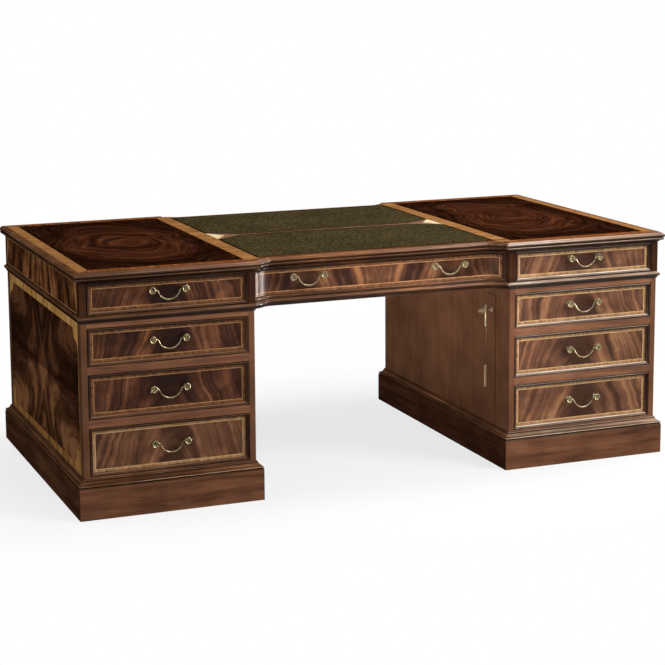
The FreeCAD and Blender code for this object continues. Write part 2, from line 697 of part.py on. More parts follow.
def make_bail():
    """Bend one bail, whose pivot line is the X axis."""
    body = doc.addObject("PartDesign::Body", "bail")
    span = "(handle_span / 2 - bail_shoulder)"
    end = "(handle_span / 2 + bail_pin_end)"
    outer = value(end)
    shoulder = value(span)
    drop = value("bail_drop")
    neck = value("bail_bend")
    swing = 2 * math.atan(drop / shoulder)
    loop = (shoulder ** 2 + drop ** 2) / (2 * drop) - neck
    path = sketch_in(body, "XZ_Plane", "Route")
    left = point(-shoulder, -neck)
    right = point(shoulder, -neck)
    middle = point(0, loop - drop)
    normal = point(0, 0, 1)
    half_turn = math.pi / 2
    path.addGeometry([
        Part.LineSegment(point(-outer, 0), point(-shoulder, 0)),
        Part.ArcOfCircle(Part.Circle(left, normal, neck), half_turn - swing, half_turn),
        Part.ArcOfCircle(Part.Circle(middle, normal, loop), -half_turn - swing, -half_turn + swing),
        Part.ArcOfCircle(Part.Circle(right, normal, neck), half_turn, half_turn + swing),
        Part.LineSegment(point(shoulder, 0), point(outer, 0)),
    ])
    for first, first_end, last, last_end in ((0, 2, 1, 2), (1, 1, 2, 1), (2, 2, 3, 2), (3, 1, 4, 1)):
        path.addConstraint(Sketcher.Constraint("Tangent", first, first_end, last, last_end))
    for line, line_end, x in ((0, 1, f"-{end}"), (0, 2, f"-{span}"), (4, 1, span), (4, 2, end)):
        dimension(path, "DistanceX", (-1, 1), (line, line_end), x)
    for line_end in ((0, 1), (4, 2)):
        dimension(path, "DistanceY", (-1, 1), line_end, "0")
    for arc in (1, 3):
        dimension(path, "Radius", (arc,), None, "bail_bend")
    dimension(path, "DistanceX", (-1, 1), (2, 3), "0")
    section = sketch_in(body, "YZ_Plane", "Section", f"-{end}")
    circle(section, "0", "0", "wire_radius")
    doc.recompute()
    pipe = body.newObject("PartDesign::AdditivePipe", "Bent")
    pipe.Profile = section
    pipe.Spine = (path, [f"Edge{index}" for index in range(1, 6)])
    doc.recompute()
    return body


def make_handles(drawer, places, post, bail):
    """Set copies of the post and the bail on a drawer.

    places lists a bail's name and the expressions for the handle's middle on the drawer's field.
    """
    posts = []
    half = value("handle_span / 2")
    for bail_name, spot in places:
        middle = point(*(value(expression) for expression in spot))
        for side in (-1, 1):
            posts.append(post.Shape.translated(middle + point(side * half, 0, 0)))
        pivot = middle - point(0, value("pivot_reach"), 0)
        finish(fixed(bail_name, bail.Shape.translated(pivot)), bail_name)
    finish(fixed(f"{drawer}_posts", Part.makeCompound(posts)), f"{drawer}_posts")


def make_drawers():
    """Make the nine drawers with their boxes and handles."""
    post = make_post()
    bail = make_bail()
    rows = (
        ("lower", "lower_floor", "lower_opening", "pedestal_front", "handle_rise"),
        ("middle", "middle_floor", "middle_opening", "pedestal_front", "handle_rise"),
        ("upper", "upper_floor", "upper_opening", "pedestal_front", "handle_rise"),
        ("frieze", "frieze_floor", "frieze_opening", "frieze_front", "frieze_handle_rise"),
    )
    for side, sign in (("left", "-"), ("right", "")):
        middle = f"{sign}pedestal_middle"
        for row, floor, opening, front, rise in rows:
            name = f"{side}_{row}_drawer"
            back = f"front_thickness - {front}"
            straight_front(f"{name}_front", (middle, back, f"{floor} + drawer_gap"),
                           f"({opening} - 2 * drawer_gap)")
            drawer_box(f"{name}_box",
                       (f"{middle} - opening_width / 2 + box_side_gap", back, f"{floor} + runner_gap"),
                       ("opening_width - 2 * box_side_gap", "drawer_depth", f"{opening} - box_top_gap"))
            spot = (middle, f"lip_depth - {front}", f"{floor} + {opening} / 2 + {rise}")
            make_handles(name, [(f"{name}_bail", spot)], post, bail)
    centre_front("centre_drawer_front", value("frieze_opening - 2 * drawer_gap"))
    drawer_box("centre_drawer_box",
               ("box_side_gap - frieze_inner", "front_thickness - centre_front", "frieze_floor + runner_gap"),
               ("2 * (frieze_inner - box_side_gap)", "centre_depth", "frieze_opening - box_top_gap"))
    level = "frieze_floor + frieze_opening / 2 + frieze_handle_rise"
    field = "lip_depth - centre_front"
    places = [(f"centre_drawer_{side}_bail", (f"{sign}centre_handle_offset", field, level))
              for side, sign in (("left", "-"), ("right", ""))]
    make_handles("centre_drawer", places, post, bail)


# The locking flap in the right pedestal's kneehole side.

# From the kneehole into the right pedestal.
INWARDS = (1, 0, 0)


def make_hinges():
    """Make the two butt hinges: frame leaves with their pins, and the flap's leaves."""
    frame_leaves = []
    flap_leaves = []
    share = "(hinge_height / 3)"
    leaf_start = "hinge_axis_x"
    leaf_reach = "leaf_width + knuckle_radius"
    for name, low in (("low", "flap_floor + hinge_inset"),
                      ("high", "flap_ceiling - hinge_inset - hinge_height")):
        axis = ("hinge_axis_x", "hinge_axis_y")
        frame = [board(f"{name}_frame_leaf", (leaf_start, "-flap_rear - leaf_thickness", low),
                       (leaf_reach, "leaf_thickness", "hinge_height"))]
        flap = [board(f"{name}_flap_leaf", (leaf_start, "-flap_rear - hinge_slot", low),
                      (leaf_reach, "leaf_thickness", "hinge_height"))]
        for end, start in (("foot", low), ("head", f"{low} + 2 * {share}")):
            frame.append(rod(f"{name}_{end}_knuckle", (*axis, start), "knuckle_radius", share))
        middle = f"{low} + {share} + knuckle_play"
        middle_tall = f"{share} - 2 * knuckle_play"
        flap.append(rod(f"{name}_middle_knuckle", (*axis, middle), "knuckle_radius", middle_tall))
        gaps = []
        for end, start in (("foot", low), ("head", f"{low} + 2 * {share} - knuckle_play")):
            gaps.append(rod(f"{name}_{end}_room", (*axis, start), "knuckle_radius + leaf_play",
                            f"{share} + knuckle_play"))
        gaps.append(rod(f"{name}_bore", (*axis, low), "pin_radius + pin_play", "hinge_height"))
        flap_leaves.append(cut(f"{name}_flap_hinge", fuse(f"{name}_flap_block", flap),
                               fuse(f"{name}_flap_room", gaps)))
        room = rod(f"{name}_frame_room", (*axis, f"{low} + {share}"), "knuckle_radius + leaf_play", share)
        pin = rod(f"{name}_pin", (*axis, low), "pin_radius", "hinge_height")
        cleared = cut(f"{name}_frame_cleared", fuse(f"{name}_frame_block", frame), room)
        frame_leaves.append(fuse(f"{name}_frame_hinge", [cleared, pin]))
    for label, leaves in (("flap_hinge_frame_leaves", frame_leaves), ("flap_hinge_flap_leaves", flap_leaves)):
        group = doc.addObject("Part::Compound", label)
        group.Links = leaves
        finish(group, label)


def make_flap():
    """Make the locking flap, its hinges, its lock and the key."""
    slab = board("flap_slab", ("pedestal_inner", "-flap_front + flap_gap", "flap_floor + flap_gap"),
                 ("flap_thickness", "flap_width - flap_gap - hinge_slot", "flap_height - 2 * flap_gap"))
    keyhole = ("pedestal_inner", "key_y", "key_z")
    hole = rod("barrel_hole", keyhole, "barrel_radius", "flap_thickness", INWARDS)
    finish(cut("flap", slab, hole), "locking_flap")
    make_hinges()
    plate = ("pedestal_inner - escutcheon_thickness", "key_y", "key_z")
    body_length = "escutcheon_thickness + flap_thickness + case_depth"
    solid = fuse("lock_block", [
        rod("escutcheon", plate, "escutcheon_radius", "escutcheon_thickness", INWARDS),
        rod("barrel", plate, "barrel_radius", body_length, INWARDS),
        board("lock_case",
              ("pedestal_inner + flap_thickness", "key_y - case_width / 2", "key_z - case_height / 2"),
              ("case_depth", "case_width", "case_height")),
    ])
    keyway = rod("keyway", plate, "key_radius + key_clearance", "escutcheon_thickness + flap_thickness",
                 INWARDS)
    finish(cut("lock", solid, keyway), "flap_lock")
    make_key()


def make_key():
    """Make the key: a stem with a collar, and a bow of one ring at its end and one on each side."""
    beside = "(bow_radius + key_radius - bow_seat)"
    stem_end = "(key_reach + bow_radius + 2 * bow_wire)"
    pieces = []
    for name, back, level in (("upper_ring", "key_reach", f"key_z + {beside}"),
                              ("lower_ring", "key_reach", f"key_z - {beside}"),
                              ("end_ring", f"({stem_end} + bow_radius)", "key_z")):
        loop = doc.addObject("Part::Torus", name)
        loop.setExpression("Radius1", cell("bow_radius"))
        loop.setExpression("Radius2", cell("bow_wire"))
        loop.Placement.Rotation = FreeCAD.Rotation(FreeCAD.Vector(1, 0, 0), 90)
        pieces.append(place(loop, (f"pedestal_inner - {back}", "key_y", level)))
    pieces.append(rod("stem", (f"pedestal_inner - {stem_end} - bow_wire / 2", "key_y", "key_z"), "key_radius",
                      f"{stem_end} + bow_wire / 2 + flap_thickness - key_clearance", INWARDS))
    pieces.append(rod("collar", ("pedestal_inner - key_reach + bow_radius + 3 * bow_wire", "key_y", "key_z"),
                      "2 * key_radius", "bow_wire", INWARDS))
    finish(fuse("key", pieces), "flap_key")


make_top()
make_frieze()
make_pedestal("left", "-pedestal_outer")
make_pedestal("right", "pedestal_inner")
make_drawers()
make_flap()
doc.recompute()

for part in doc.Objects:
    if "Invalid" in part.State or "Error" in part.State:
        raise RuntimeError(f"{part.Label} failed: {part.State}")
for part in subparts:
    if part.Shape.isNull() or not part.Shape.isValid():
        raise RuntimeError(f"{part.Label} has no valid shape")

os.makedirs("parts", exist_ok=True)
for part in subparts:
    part.Shape.exportStep(os.path.join("parts", part.Label + ".step"))
print(len(subparts), "sub-parts, desk height", value("desk_height"))
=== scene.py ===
"""Looks of the mahogany pedestal desk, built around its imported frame.

Every length is in metres in the desk's own frame: X along the desk, -Y the drawer side, Z up.
"""

import json
import logging
import math
from dataclasses import dataclass
from enum import Enum, IntEnum
from typing import Callable, Iterable, Sequence

import bmesh
import bpy
from mathutils import Matrix, Vector


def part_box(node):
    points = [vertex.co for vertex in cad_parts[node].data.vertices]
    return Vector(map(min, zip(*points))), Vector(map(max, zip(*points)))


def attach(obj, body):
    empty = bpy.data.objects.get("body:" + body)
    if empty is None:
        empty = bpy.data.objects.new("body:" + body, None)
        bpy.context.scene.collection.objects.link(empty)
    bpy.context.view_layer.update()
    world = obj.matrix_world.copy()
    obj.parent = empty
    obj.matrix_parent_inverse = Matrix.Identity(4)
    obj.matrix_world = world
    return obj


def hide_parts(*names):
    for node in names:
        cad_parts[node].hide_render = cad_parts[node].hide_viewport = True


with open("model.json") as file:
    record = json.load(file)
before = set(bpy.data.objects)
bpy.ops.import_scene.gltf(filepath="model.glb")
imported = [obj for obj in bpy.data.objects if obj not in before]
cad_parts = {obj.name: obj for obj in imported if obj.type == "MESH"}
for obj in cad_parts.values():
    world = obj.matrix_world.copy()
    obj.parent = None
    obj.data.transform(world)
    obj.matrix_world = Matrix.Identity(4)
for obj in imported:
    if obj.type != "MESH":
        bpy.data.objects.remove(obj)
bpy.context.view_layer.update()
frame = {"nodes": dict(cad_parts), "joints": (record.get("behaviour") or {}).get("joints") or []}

LOG = logging.getLogger("pedestal_desk")
# Side of the photograph, in its own pixels.
PHOTO_PIXELS = 665
# Names of the veneers' own map, and of the number that tells one leaf from another.
FIGURE = "figure"
LEAF = "leaf"
WHITE = "#ffffff"
SIGNS = (-1, 1)
# Corners closer than this are one.
WELD = 1e-6
# Faces that turn less than the first angle lie in one plane. Edges that turn more than the second are eased.
FLAT = math.radians(0.4)
SHARP = math.radians(40)
# Share of a face's direction from which it looks along an axis, and from which it is level.
LOOKS_ALONG = 0.5
LOOKS_LEVEL = 0.9
# Angles in degrees up to which light runs on over the edges of flat pieces, and of turned or moulded ones.
CRISP = 35.0
ROUNDED = 50.0
# Half length of the set-back middle in the mouldings round the desk, whose wood has painted shade.
MIDDLE_HALF = 0.45
# Values between which a noise mostly stays.
NOISE_RANGE = (0.3, 0.7)

Tree = bpy.types.NodeTree
Node = bpy.types.Node
Socket = bpy.types.NodeSocket
Mesh = bmesh.types.BMesh
Face = bmesh.types.BMFace
Inputs = dict[str | int, object] | Sequence[object]
Pair = tuple[float, float]
Point = tuple[float, float, float]
Outline = list[Pair]
Stops = Iterable[tuple[float, str]]


class Axis(IntEnum):
    """Direction that the grain of solid wood runs in, as its place in a vector."""

    X = 0
    Y = 1
    Z = 2


class Layer(IntEnum):
    """Layer of a veneered panel, as the number of its finish."""

    BAND = 0
    LINE = 1
    FIELD = 2
    FOOT = 3


class Side(Enum):
    """End of the desk, as the sign of its x."""

    LEFT = -1
    RIGHT = 1

    @property
    def word(self) -> str:
        """Name the side as the frame's nodes do."""
        return self.name.lower()

    def outer(self, low: Vector, high: Vector) -> float:
        """Give the x of a box's face towards this end."""
        return low.x if self is Side.LEFT else high.x


class Facing(Enum):
    """Way that a panel looks, as the directions of its width, its height and its outer face."""

    FRONT = ((1, 0, 0), (0, 0, 1), (0, -1, 0))
    REAR = ((-1, 0, 0), (0, 0, 1), (0, 1, 0))
    LEFT = ((0, -1, 0), (0, 0, 1), (-1, 0, 0))
    RIGHT = ((0, 1, 0), (0, 0, 1), (1, 0, 0))
    UP = ((1, 0, 0), (0, 1, 0), (0, 0, 1))

    def stand(self, place: Sequence[float]) -> Matrix:
        """Turn a panel that lies on the ground to this facing, with its middle at a place."""
        turn = Matrix(self.value).transposed().to_4x4()
        return Matrix.Translation(place) @ turn


def linear(code: str) -> tuple[float, float, float, float]:
    """Turn an sRGB hex colour into linear light.

    Args:
        code: Colour as a hash and six hex digits.

    Returns:
        Red, green, blue and a full alpha.
    """
    channels = [int(code[start:start + 2], 16) / 255 for start in (1, 3, 5)]
    bright = [c / 12.92 if c <= 0.04045 else ((c + 0.055) / 1.055) ** 2.4 for c in channels]
    return (bright[0], bright[1], bright[2], 1.0)


def add_node(tree: Tree, kind: str, inputs: Inputs = (), stops: Stops = (), **settings: object) -> Node:
    """Add a node with its settings, constants, links and colour stops.

    Args:
        tree: Node tree of a material or of the world.
        kind: Blender's name for the node, after its first words ShaderNode.
        inputs: Constant, socket or node for each input, by its name or number, or in their order. A node
            stands for its first output in use.
        stops: Positions and hex colours of a colour ramp.
        **settings: Properties of the node itself.

    Returns:
        The node.
    """
    node = tree.nodes.new(f"ShaderNode{kind}")
    for name, value in settings.items():
        setattr(node, name, value)
    for key, value in inputs.items() if isinstance(inputs, dict) else enumerate(inputs):
        if isinstance(value, Node):
            value = next(socket for socket in value.outputs if socket.enabled)
        if isinstance(value, Socket):
            tree.links.new(value, node.inputs[key])
        else:
            node.inputs[key].default_value = value
    for index, (position, colour) in enumerate(stops):
        elements = node.color_ramp.elements
        element = elements[index] if index < 2 else elements.new(position)
        element.position = position
        element.color = linear(colour)
    return node


def seen_rays(tree: Tree) -> Socket:
    """Mark the rays that show a background: those of the eye, of gloss and of glass.

    Args:
        tree: Node tree to work in.

    Returns:
        Socket that is 1 for such rays and 0 for the rest.
    """
    path = add_node(tree, "LightPath")
    seen = path.outputs["Is Camera Ray"]
    for kind in ("Is Glossy Ray", "Is Transmission Ray"):
        seen = add_node(tree, "Math", (seen, path.outputs[kind]), operation="MAXIMUM").outputs[0]
    return seen


@dataclass(frozen=True)
class Finish:
    """Surface finish: its name, its colours from dark to light, and how its shader meets the light.

    The steps are the colours' places on the ramp. The polish is what the dark and the light parts of the
    pattern add to the roughness.
    """

    name: str
    colours: tuple[str, ...] = ()
    roughness: float = 0.34
    specular: float = 0.10
    metallic: float = 0.0
    steps: tuple[float, ...] = ()
    polish: Pair = (0.0, 0.0)
    polish_range: Pair = NOISE_RANGE

    def material(self) -> bpy.types.Material:
        """Give the finish's material, which is made at its first use."""
        return bpy.data.materials.get(self.name) or self.make()

    def make(self) -> bpy.types.Material:
        """Make the material.

        Returns:
            A node material with the finish's surface.
        """
        material = bpy.data.materials.new(self.name)
        material.use_nodes = True
        tree = material.node_tree
        tree.nodes.clear()
        add_node(tree, "OutputMaterial", {"Surface": self.surface(tree)})
        return material

    def surface(self, tree: Tree) -> Node:
        """Draw the finish's pattern and give the shader over it."""
        raise NotImplementedError

    def ramp(self) -> Stops:
        """Give the stops of the finish's colours."""
        return zip(self.steps, self.colours)

    def coat(self, tree: Tree, colour: Node, relief: Node, depth: float, shades: Sequence[Node] = (),
             gloss: Node | None = None) -> Node:
        """Put the shader over a pattern.

        Args:
            tree: The material's nodes.
            colour: Gives the colour.
            relief: Gives the height of the relief, from 0 to 1.
            depth: Depth of the relief in metres.
            shades: Give the greys or colours that darken the colour.
            gloss: Gives the pattern that the polish follows, where it isn't the same all over.

        Returns:
            The principled shader.
        """
        for shade in shades:
            colour = add_node(tree, "Mix", {0: 1.0, 6: colour, 7: shade}, data_type="RGBA",
                              blend_type="MULTIPLY")
        bump = add_node(tree, "Bump", {"Height": relief, "Distance": depth, "Strength": 1.0})
        shader = add_node(tree, "BsdfPrincipled", {
            "Base Color": colour, "Normal": bump, "Roughness": self.roughness,
            "Specular IOR Level": self.specular, "Metallic": self.metallic})
        if gloss is not None:
            rough = [self.roughness + change for change in self.polish]
            worn = add_node(tree, "MapRange", (gloss, *self.polish_range, *rough))
            tree.links.new(worn.outputs[0], shader.inputs["Roughness"])
        return shader


@dataclass(frozen=True)
class SolidWood(Finish):
    """Straight-grained wood, waxed or polished: ribbon stripes, slow clouds of tone and dark pores.

    A moulding's tilt shade is painted shade and highlight: a grey for each tilt of its surface, from looking
    down to looking up, dark where it looks down and white where it looks up.
    """

    colours: tuple[str, ...] = ("#4b2b1a", "#764b33", "#946345")
    steps: tuple[float, ...] = (0.28, 0.5, 0.74)
    polish: Pair = (0.07, -0.05)
    polish_range: Pair = (0.25, 0.75)
    grain: Axis = Axis.X
    stripe: float = 0.024
    pore: float = 0.0035
    mottle: float = 0.11
    mottle_shade: Pair = (0.74, 1.16)
    stretch: float = 0.06
    pore_range: Pair = (0.3, 0.5)
    pore_shade: float = 0.78
    pore_depth: float = 0.00004
    glaze: Stops = ()

    def surface(self, tree: Tree) -> Node:
        """Draw the stripes and the pores, both drawn out along the grain.

        Args:
            tree: The material's nodes.

        Returns:
            The shader.
        """
        scale = [1.0, 1.0, 1.0]
        scale[self.grain] = self.stretch
        spot = add_node(tree, "TexCoord")
        place = spot.outputs["Object"]
        wood = add_node(tree, "Mapping", {"Vector": place, "Scale": scale})
        stripes = add_node(tree, "TexNoise", {
            "Vector": wood, "Scale": 1 / self.stripe, "Detail": 5.0, "Roughness": 0.62, "Distortion": 0.5})
        pores = add_node(tree, "TexNoise", {"Vector": wood, "Scale": 1 / self.pore, "Detail": 2.0})
        clouds = add_node(tree, "TexNoise", {"Vector": place, "Scale": 1 / self.mottle, "Detail": 2.0})
        colour = add_node(tree, "ValToRGB", (stripes,), self.ramp())
        depth = add_node(tree, "MapRange", (clouds, *NOISE_RANGE, *self.mottle_shade))
        shade = add_node(tree, "MapRange", (pores, *self.pore_range, self.pore_shade, 1.0))
        shades = [add_node(tree, "Math", (depth, shade), operation="MULTIPLY")]
        if self.glaze:
            # Painted shade and highlight that follow the surface's tilt.
            upward = add_node(tree, "SeparateXYZ", (spot.outputs["Normal"],)).outputs[2]
            tilt = add_node(tree, "MapRange", (upward, -1.0, 1.0))
            shades.append(add_node(tree, "ValToRGB", (tilt,), self.glaze))
        return self.coat(tree, colour, pores, self.pore_depth, shades, stripes)


@dataclass(frozen=True)
class FiguredVeneer(Finish):
    """Leaf of figured veneer: its figure lies on the panel's own map, wanders, and is each leaf's own."""

    wander: float = 0.065
    wave: float = 0.16
    wave_roughness: float = 0.55
    drag: float = 0.25

    def wandering(self, tree: Tree) -> tuple[Node, Socket, Node, Node]:
        """Find a place on the leaf and let it wander.

        Args:
            tree: The material's nodes.

        Returns:
            The place's axes, the leaf's number, the place with that number, and the wandered place.
        """
        spot = add_node(tree, "UVMap", uv_map=FIGURE)
        leaf = add_node(tree, "Attribute", attribute_name=LEAF).outputs["Fac"]
        axes = add_node(tree, "SeparateXYZ", (spot,))
        seed = add_node(tree, "CombineXYZ", (axes.outputs[0], axes.outputs[1], leaf))
        drift = add_node(tree, "TexNoise", {
            "Vector": seed, "Scale": 1 / self.wave, "Detail": 3.0, "Roughness": self.wave_roughness})
        centred = add_node(tree, "VectorMath", (drift.outputs["Color"], (0.5, 0.5, 0.5)),
                           operation="SUBTRACT")
        moved = add_node(tree, "VectorMath", (centred, (self.wander, self.wander, 0.0), spot),
                         operation="MULTIPLY_ADD")
        return axes, leaf, seed, moved


@dataclass(frozen=True)
class CrotchMahogany(FiguredVeneer):
    """Crotch mahogany veneer: a feather that arches over its root, darker or paler away from its axis."""

    colours: tuple[str, ...] = ("#492c1e", "#63402d", "#80553c", "#a97853")
    steps: tuple[float, ...] = (0.41, 0.47, 0.53, 0.6)
    polish: Pair = (0.06, -0.04)
    arch_width: float = 0.12
    arch_steepness: float = 4.0
    streak: float = 0.062
    fibre: float = 0.007
    fibre_shade: Pair = (0.82, 1.14)
    fibre_depth: float = 0.00003
    cloud: float = 0.07
    cloud_share: float = 0.36
    vein_share: float = 0.7
    tones: Stops = ((0.015, "#6c6c6c"), (0.07, "#bcbcbc"), (0.13, "#c4c4c4"), (0.25, "#b4b4b4"))

    def surface(self, tree: Tree) -> Node:
        """Draw streaks along arches that are flat over the root and steep beside it.

        Args:
            tree: The material's nodes.

        Returns:
            The shader.
        """
        axes, leaf, seed, moved = self.wandering(tree)
        bent = add_node(tree, "SeparateXYZ", (moved,))
        spread = add_node(tree, "Mapping", {
            "Vector": moved, "Location": (0.0, 1.0, 0.0), "Scale": (1 / self.arch_width, 0.0, 0.0)})
        arch = add_node(tree, "VectorMath", (spread,), operation="LENGTH")
        level = add_node(tree, "Math", (arch, self.arch_width * self.arch_steepness, bent.outputs[1]),
                         operation="MULTIPLY_ADD")
        slow = add_node(tree, "Math", (axes.outputs[0], self.drag), operation="MULTIPLY")
        across = add_node(tree, "CombineXYZ", (level, slow, leaf))
        streaks = add_node(tree, "TexNoise", {
            "Vector": across, "Scale": 1 / self.streak, "Detail": 3.0, "Roughness": 0.55})
        clouds = add_node(tree, "TexNoise", {
            "Vector": seed, "Scale": 1 / self.cloud, "Detail": 4.0, "Roughness": 0.55})
        fibres = add_node(tree, "TexNoise", {
            "Vector": across, "Scale": 1 / self.fibre, "Detail": 2.0, "Roughness": 0.6})
        reach = add_node(tree, "Math", (bent.outputs[0],), operation="ABSOLUTE")
        tone = add_node(tree, "ValToRGB", (reach,), self.tones)
        veins = add_node(tree, "Mix", {0: self.cloud_share, 2: streaks, 3: clouds})
        value = add_node(tree, "Mix", {0: self.vein_share, 2: tone, 3: veins})
        colour = add_node(tree, "ValToRGB", (value,), self.ramp())
        shade = add_node(tree, "MapRange", (fibres, *NOISE_RANGE, *self.fibre_shade))
        return self.coat(tree, colour, fibres, self.fibre_depth, (shade,), fibres)


@dataclass(frozen=True)
class OvalFigure(FiguredVeneer):
    """Swirling mahogany veneer whose figure closes into long ovals, dark outside them."""

    colours: tuple[str, ...] = ("#200e08", "#34190e", "#492717", "#653b25")
    steps: tuple[float, ...] = (0.36, 0.46, 0.56, 0.68)
    wander: float = 0.24
    wave: float = 0.26
    wave_roughness: float = 0.45
    half_width: float = 0.257
    half_length: float = 0.495
    ring: float = 0.05
    calm: float = 0.5
    streak_depth: float = 0.00004
    rim: Stops = ((0.0, WHITE), (0.85, WHITE), (1.0, "#a8a8a8"))

    def surface(self, tree: Tree) -> Node:
        """Draw streaks along wandering ovals round the middle of the leaf.

        Args:
            tree: The material's nodes.

        Returns:
            The shader.
        """
        axes, leaf, _, moved = self.wandering(tree)
        oval = add_node(tree, "Mapping", {
            "Vector": moved, "Location": (0.0, 0.0, self.calm),
            "Scale": (1 / self.half_width, 1 / self.half_length, 0.0)})
        radius = add_node(tree, "VectorMath", (oval,), operation="LENGTH")
        slow = add_node(tree, "Math", (axes.outputs[1], self.drag), operation="MULTIPLY")
        across = add_node(tree, "CombineXYZ", (radius, slow, leaf))
        streaks = add_node(tree, "TexNoise", {
            "Vector": across, "Scale": 1 / self.ring, "Detail": 6.0, "Roughness": 0.68})
        colour = add_node(tree, "ValToRGB", (streaks,), self.ramp())
        edge = add_node(tree, "ValToRGB", (radius,), self.rim)
        return self.coat(tree, colour, streaks, self.streak_depth, (edge,))


@dataclass(frozen=True)
class Crossband(Finish):
    """Veneer laid with its grain across a narrow band, so that its streaks run over the band's width."""

    steps: tuple[float, ...] = (0.32, 0.5, 0.68)
    streak: float = 0.011
    fibre: float = 0.004
    fibre_shade: Pair = (0.85, 1.08)
    stretch: float = 0.12
    fibre_depth: float = 0.00003

    def surface(self, tree: Tree) -> Node:
        """Draw streaks that change along the band's run and hold over its width.

        Args:
            tree: The material's nodes.

        Returns:
            The shader.
        """
        spot = add_node(tree, "UVMap", uv_map=FIGURE)
        leaf = add_node(tree, "Attribute", attribute_name=LEAF).outputs["Vector"]
        seeded = add_node(tree, "VectorMath", (spot, leaf), operation="ADD")
        wood = add_node(tree, "Mapping", {"Vector": seeded, "Scale": (1.0, self.stretch, 1.0)})
        streaks = add_node(tree, "TexNoise", {
            "Vector": wood, "Scale": 1 / self.streak, "Detail": 4.0, "Roughness": 0.65, "Distortion": 0.3})
        fibres = add_node(tree, "TexNoise", {"Vector": wood, "Scale": 1 / self.fibre, "Detail": 1.0})
        colour = add_node(tree, "ValToRGB", (streaks,), self.ramp())
        shade = add_node(tree, "MapRange", (fibres, *NOISE_RANGE, *self.fibre_shade))
        return self.coat(tree, colour, fibres, self.fibre_depth, (shade,))


@dataclass(frozen=True)
class Stringing(Finish):
    """Boxwood line, pale and close-grained, a little yellowed by its polish."""

    steps: tuple[float, ...] = (0.35, 0.6)
    tone: float = 0.02
    tone_depth: float = 0.00002

    def surface(self, tree: Tree) -> Node:
        """Draw slow changes of tone along the line.

        Args:
            tree: The material's nodes.

        Returns:
            The shader.
        """
        place = add_node(tree, "TexCoord").outputs["Object"]
        tones = add_node(tree, "TexNoise", {"Vector": place, "Scale": 1 / self.tone, "Detail": 3.0})
        colour = add_node(tree, "ValToRGB", (tones,), self.ramp())
        return self.coat(tree, colour, tones, self.tone_depth)


@dataclass(frozen=True)
class GrainedLeather(Finish):
    """Hide dyed olive green, with pebbled grain and a worn yellowish fleck on its high points."""

    steps: tuple[float, ...] = (0.36, 0.5, 0.66)
    fleck: float = 0.008
    pebble: float = 0.003
    patch: float = 0.15
    patch_share: float = 0.14
    pebble_depth: float = 0.0002

    def surface(self, tree: Tree) -> Node:
        """Draw the flecks coarse enough to show from a step away, and the pebbles at their real size.

        Args:
            tree: The material's nodes.

        Returns:
            The shader.
        """
        place = add_node(tree, "TexCoord").outputs["Object"]
        flecks = add_node(tree, "TexNoise", {
            "Vector": place, "Scale": 1 / self.fleck, "Detail": 3.0, "Roughness": 0.7})
        patches = add_node(tree, "TexNoise", {"Vector": place, "Scale": 1 / self.patch, "Detail": 3.0})
        value = add_node(tree, "Mix", {0: self.patch_share, 2: flecks, 3: patches})
        colour = add_node(tree, "ValToRGB", (value,), self.ramp())
        pebbles = add_node(tree, "TexVoronoi", {"Vector": place, "Scale": 1 / self.pebble})
        return self.coat(tree, colour, pebbles, self.pebble_depth)


@dataclass(frozen=True)
class AntiqueBrass(Finish):
    """Cast brass, lacquer worn off: dull gold where hands touch it and brown where they don't."""

    roughness: float = 0.33
    specular: float = 0.5
    metallic: float = 1.0
    steps: tuple[float, ...] = (0.3, 0.46, 0.66)
    polish: Pair = (0.15, -0.08)
    patch: float = 0.008
    patch_depth: float = 0.00005

    def surface(self, tree: Tree) -> Node:
        """Draw patches of patina and the roughness that goes with them.

        Args:
            tree: The material's nodes.

        Returns:
            The shader.
        """
        place = add_node(tree, "TexCoord").outputs["Object"]
        patches = add_node(tree, "TexNoise", {
            "Vector": place, "Scale": 1 / self.patch, "Detail": 5.0, "Roughness": 0.65})
        colour = add_node(tree, "ValToRGB", (patches,), self.ramp())
        return self.coat(tree, colour, patches, self.patch_depth, gloss=patches)


@dataclass(frozen=True)
class StudioFloor(Finish):
    """White studio floor that keeps a faint shadow and fades into the white round the desk."""

    shown: str = "#f6f6f6"
    bounce: str = "#909090"
    reach: Point = (0.55, 1.0, 1.0)
    near: float = 0.55
    far: float = 1.35
    shadow: float = 0.24

    def surface(self, tree: Tree) -> Node:
        """Give grey to light that bounces, and white with a shadow near the desk to what eye and gloss see.

        Args:
            tree: The material's nodes.

        Returns:
            The mixed shader.
        """
        place = add_node(tree, "TexCoord").outputs["Object"]
        round_desk = add_node(tree, "VectorMath", (place, self.reach), operation="MULTIPLY")
        away = add_node(tree, "VectorMath", (round_desk,), operation="LENGTH")
        fade = add_node(tree, "MapRange", (away, self.near, self.far, 1 - self.shadow, 1.0),
                        interpolation_type="SMOOTHSTEP")
        matt = add_node(tree, "BsdfDiffuse", {"Color": linear(self.shown)})
        white = add_node(tree, "Emission", {"Color": linear(WHITE), "Strength": 1.0})
        seen = add_node(tree, "MixShader", (fade, matt, white))
        grey = add_node(tree, "BsdfDiffuse", {"Color": linear(self.bounce)})
        return add_node(tree, "MixShader", (seen_rays(tree), grey, seen))


# Waxed mahogany of the frames: dull ribbon stripes, with plainer wood on the upright faces.
MAHOGANY = [
    SolidWood("waxed_mahogany_along", specular=0.08),
    SolidWood("waxed_mahogany_back", ("#432717", "#66422d", "#80563b"), specular=0.0, grain=Axis.Y),
    SolidWood("waxed_mahogany_upright", ("#704a35", "#79523b", "#7f5840"), specular=0.0, grain=Axis.Z,
              pore_shade=0.9),
]
# Rails of the pedestals: the same wax with a little more shine and a redder tone.
CARCASS = [SolidWood("waxed_rail", ("#563221", "#84553a", "#a46f4d"), specular=0.13), *MAHOGANY[1:]]
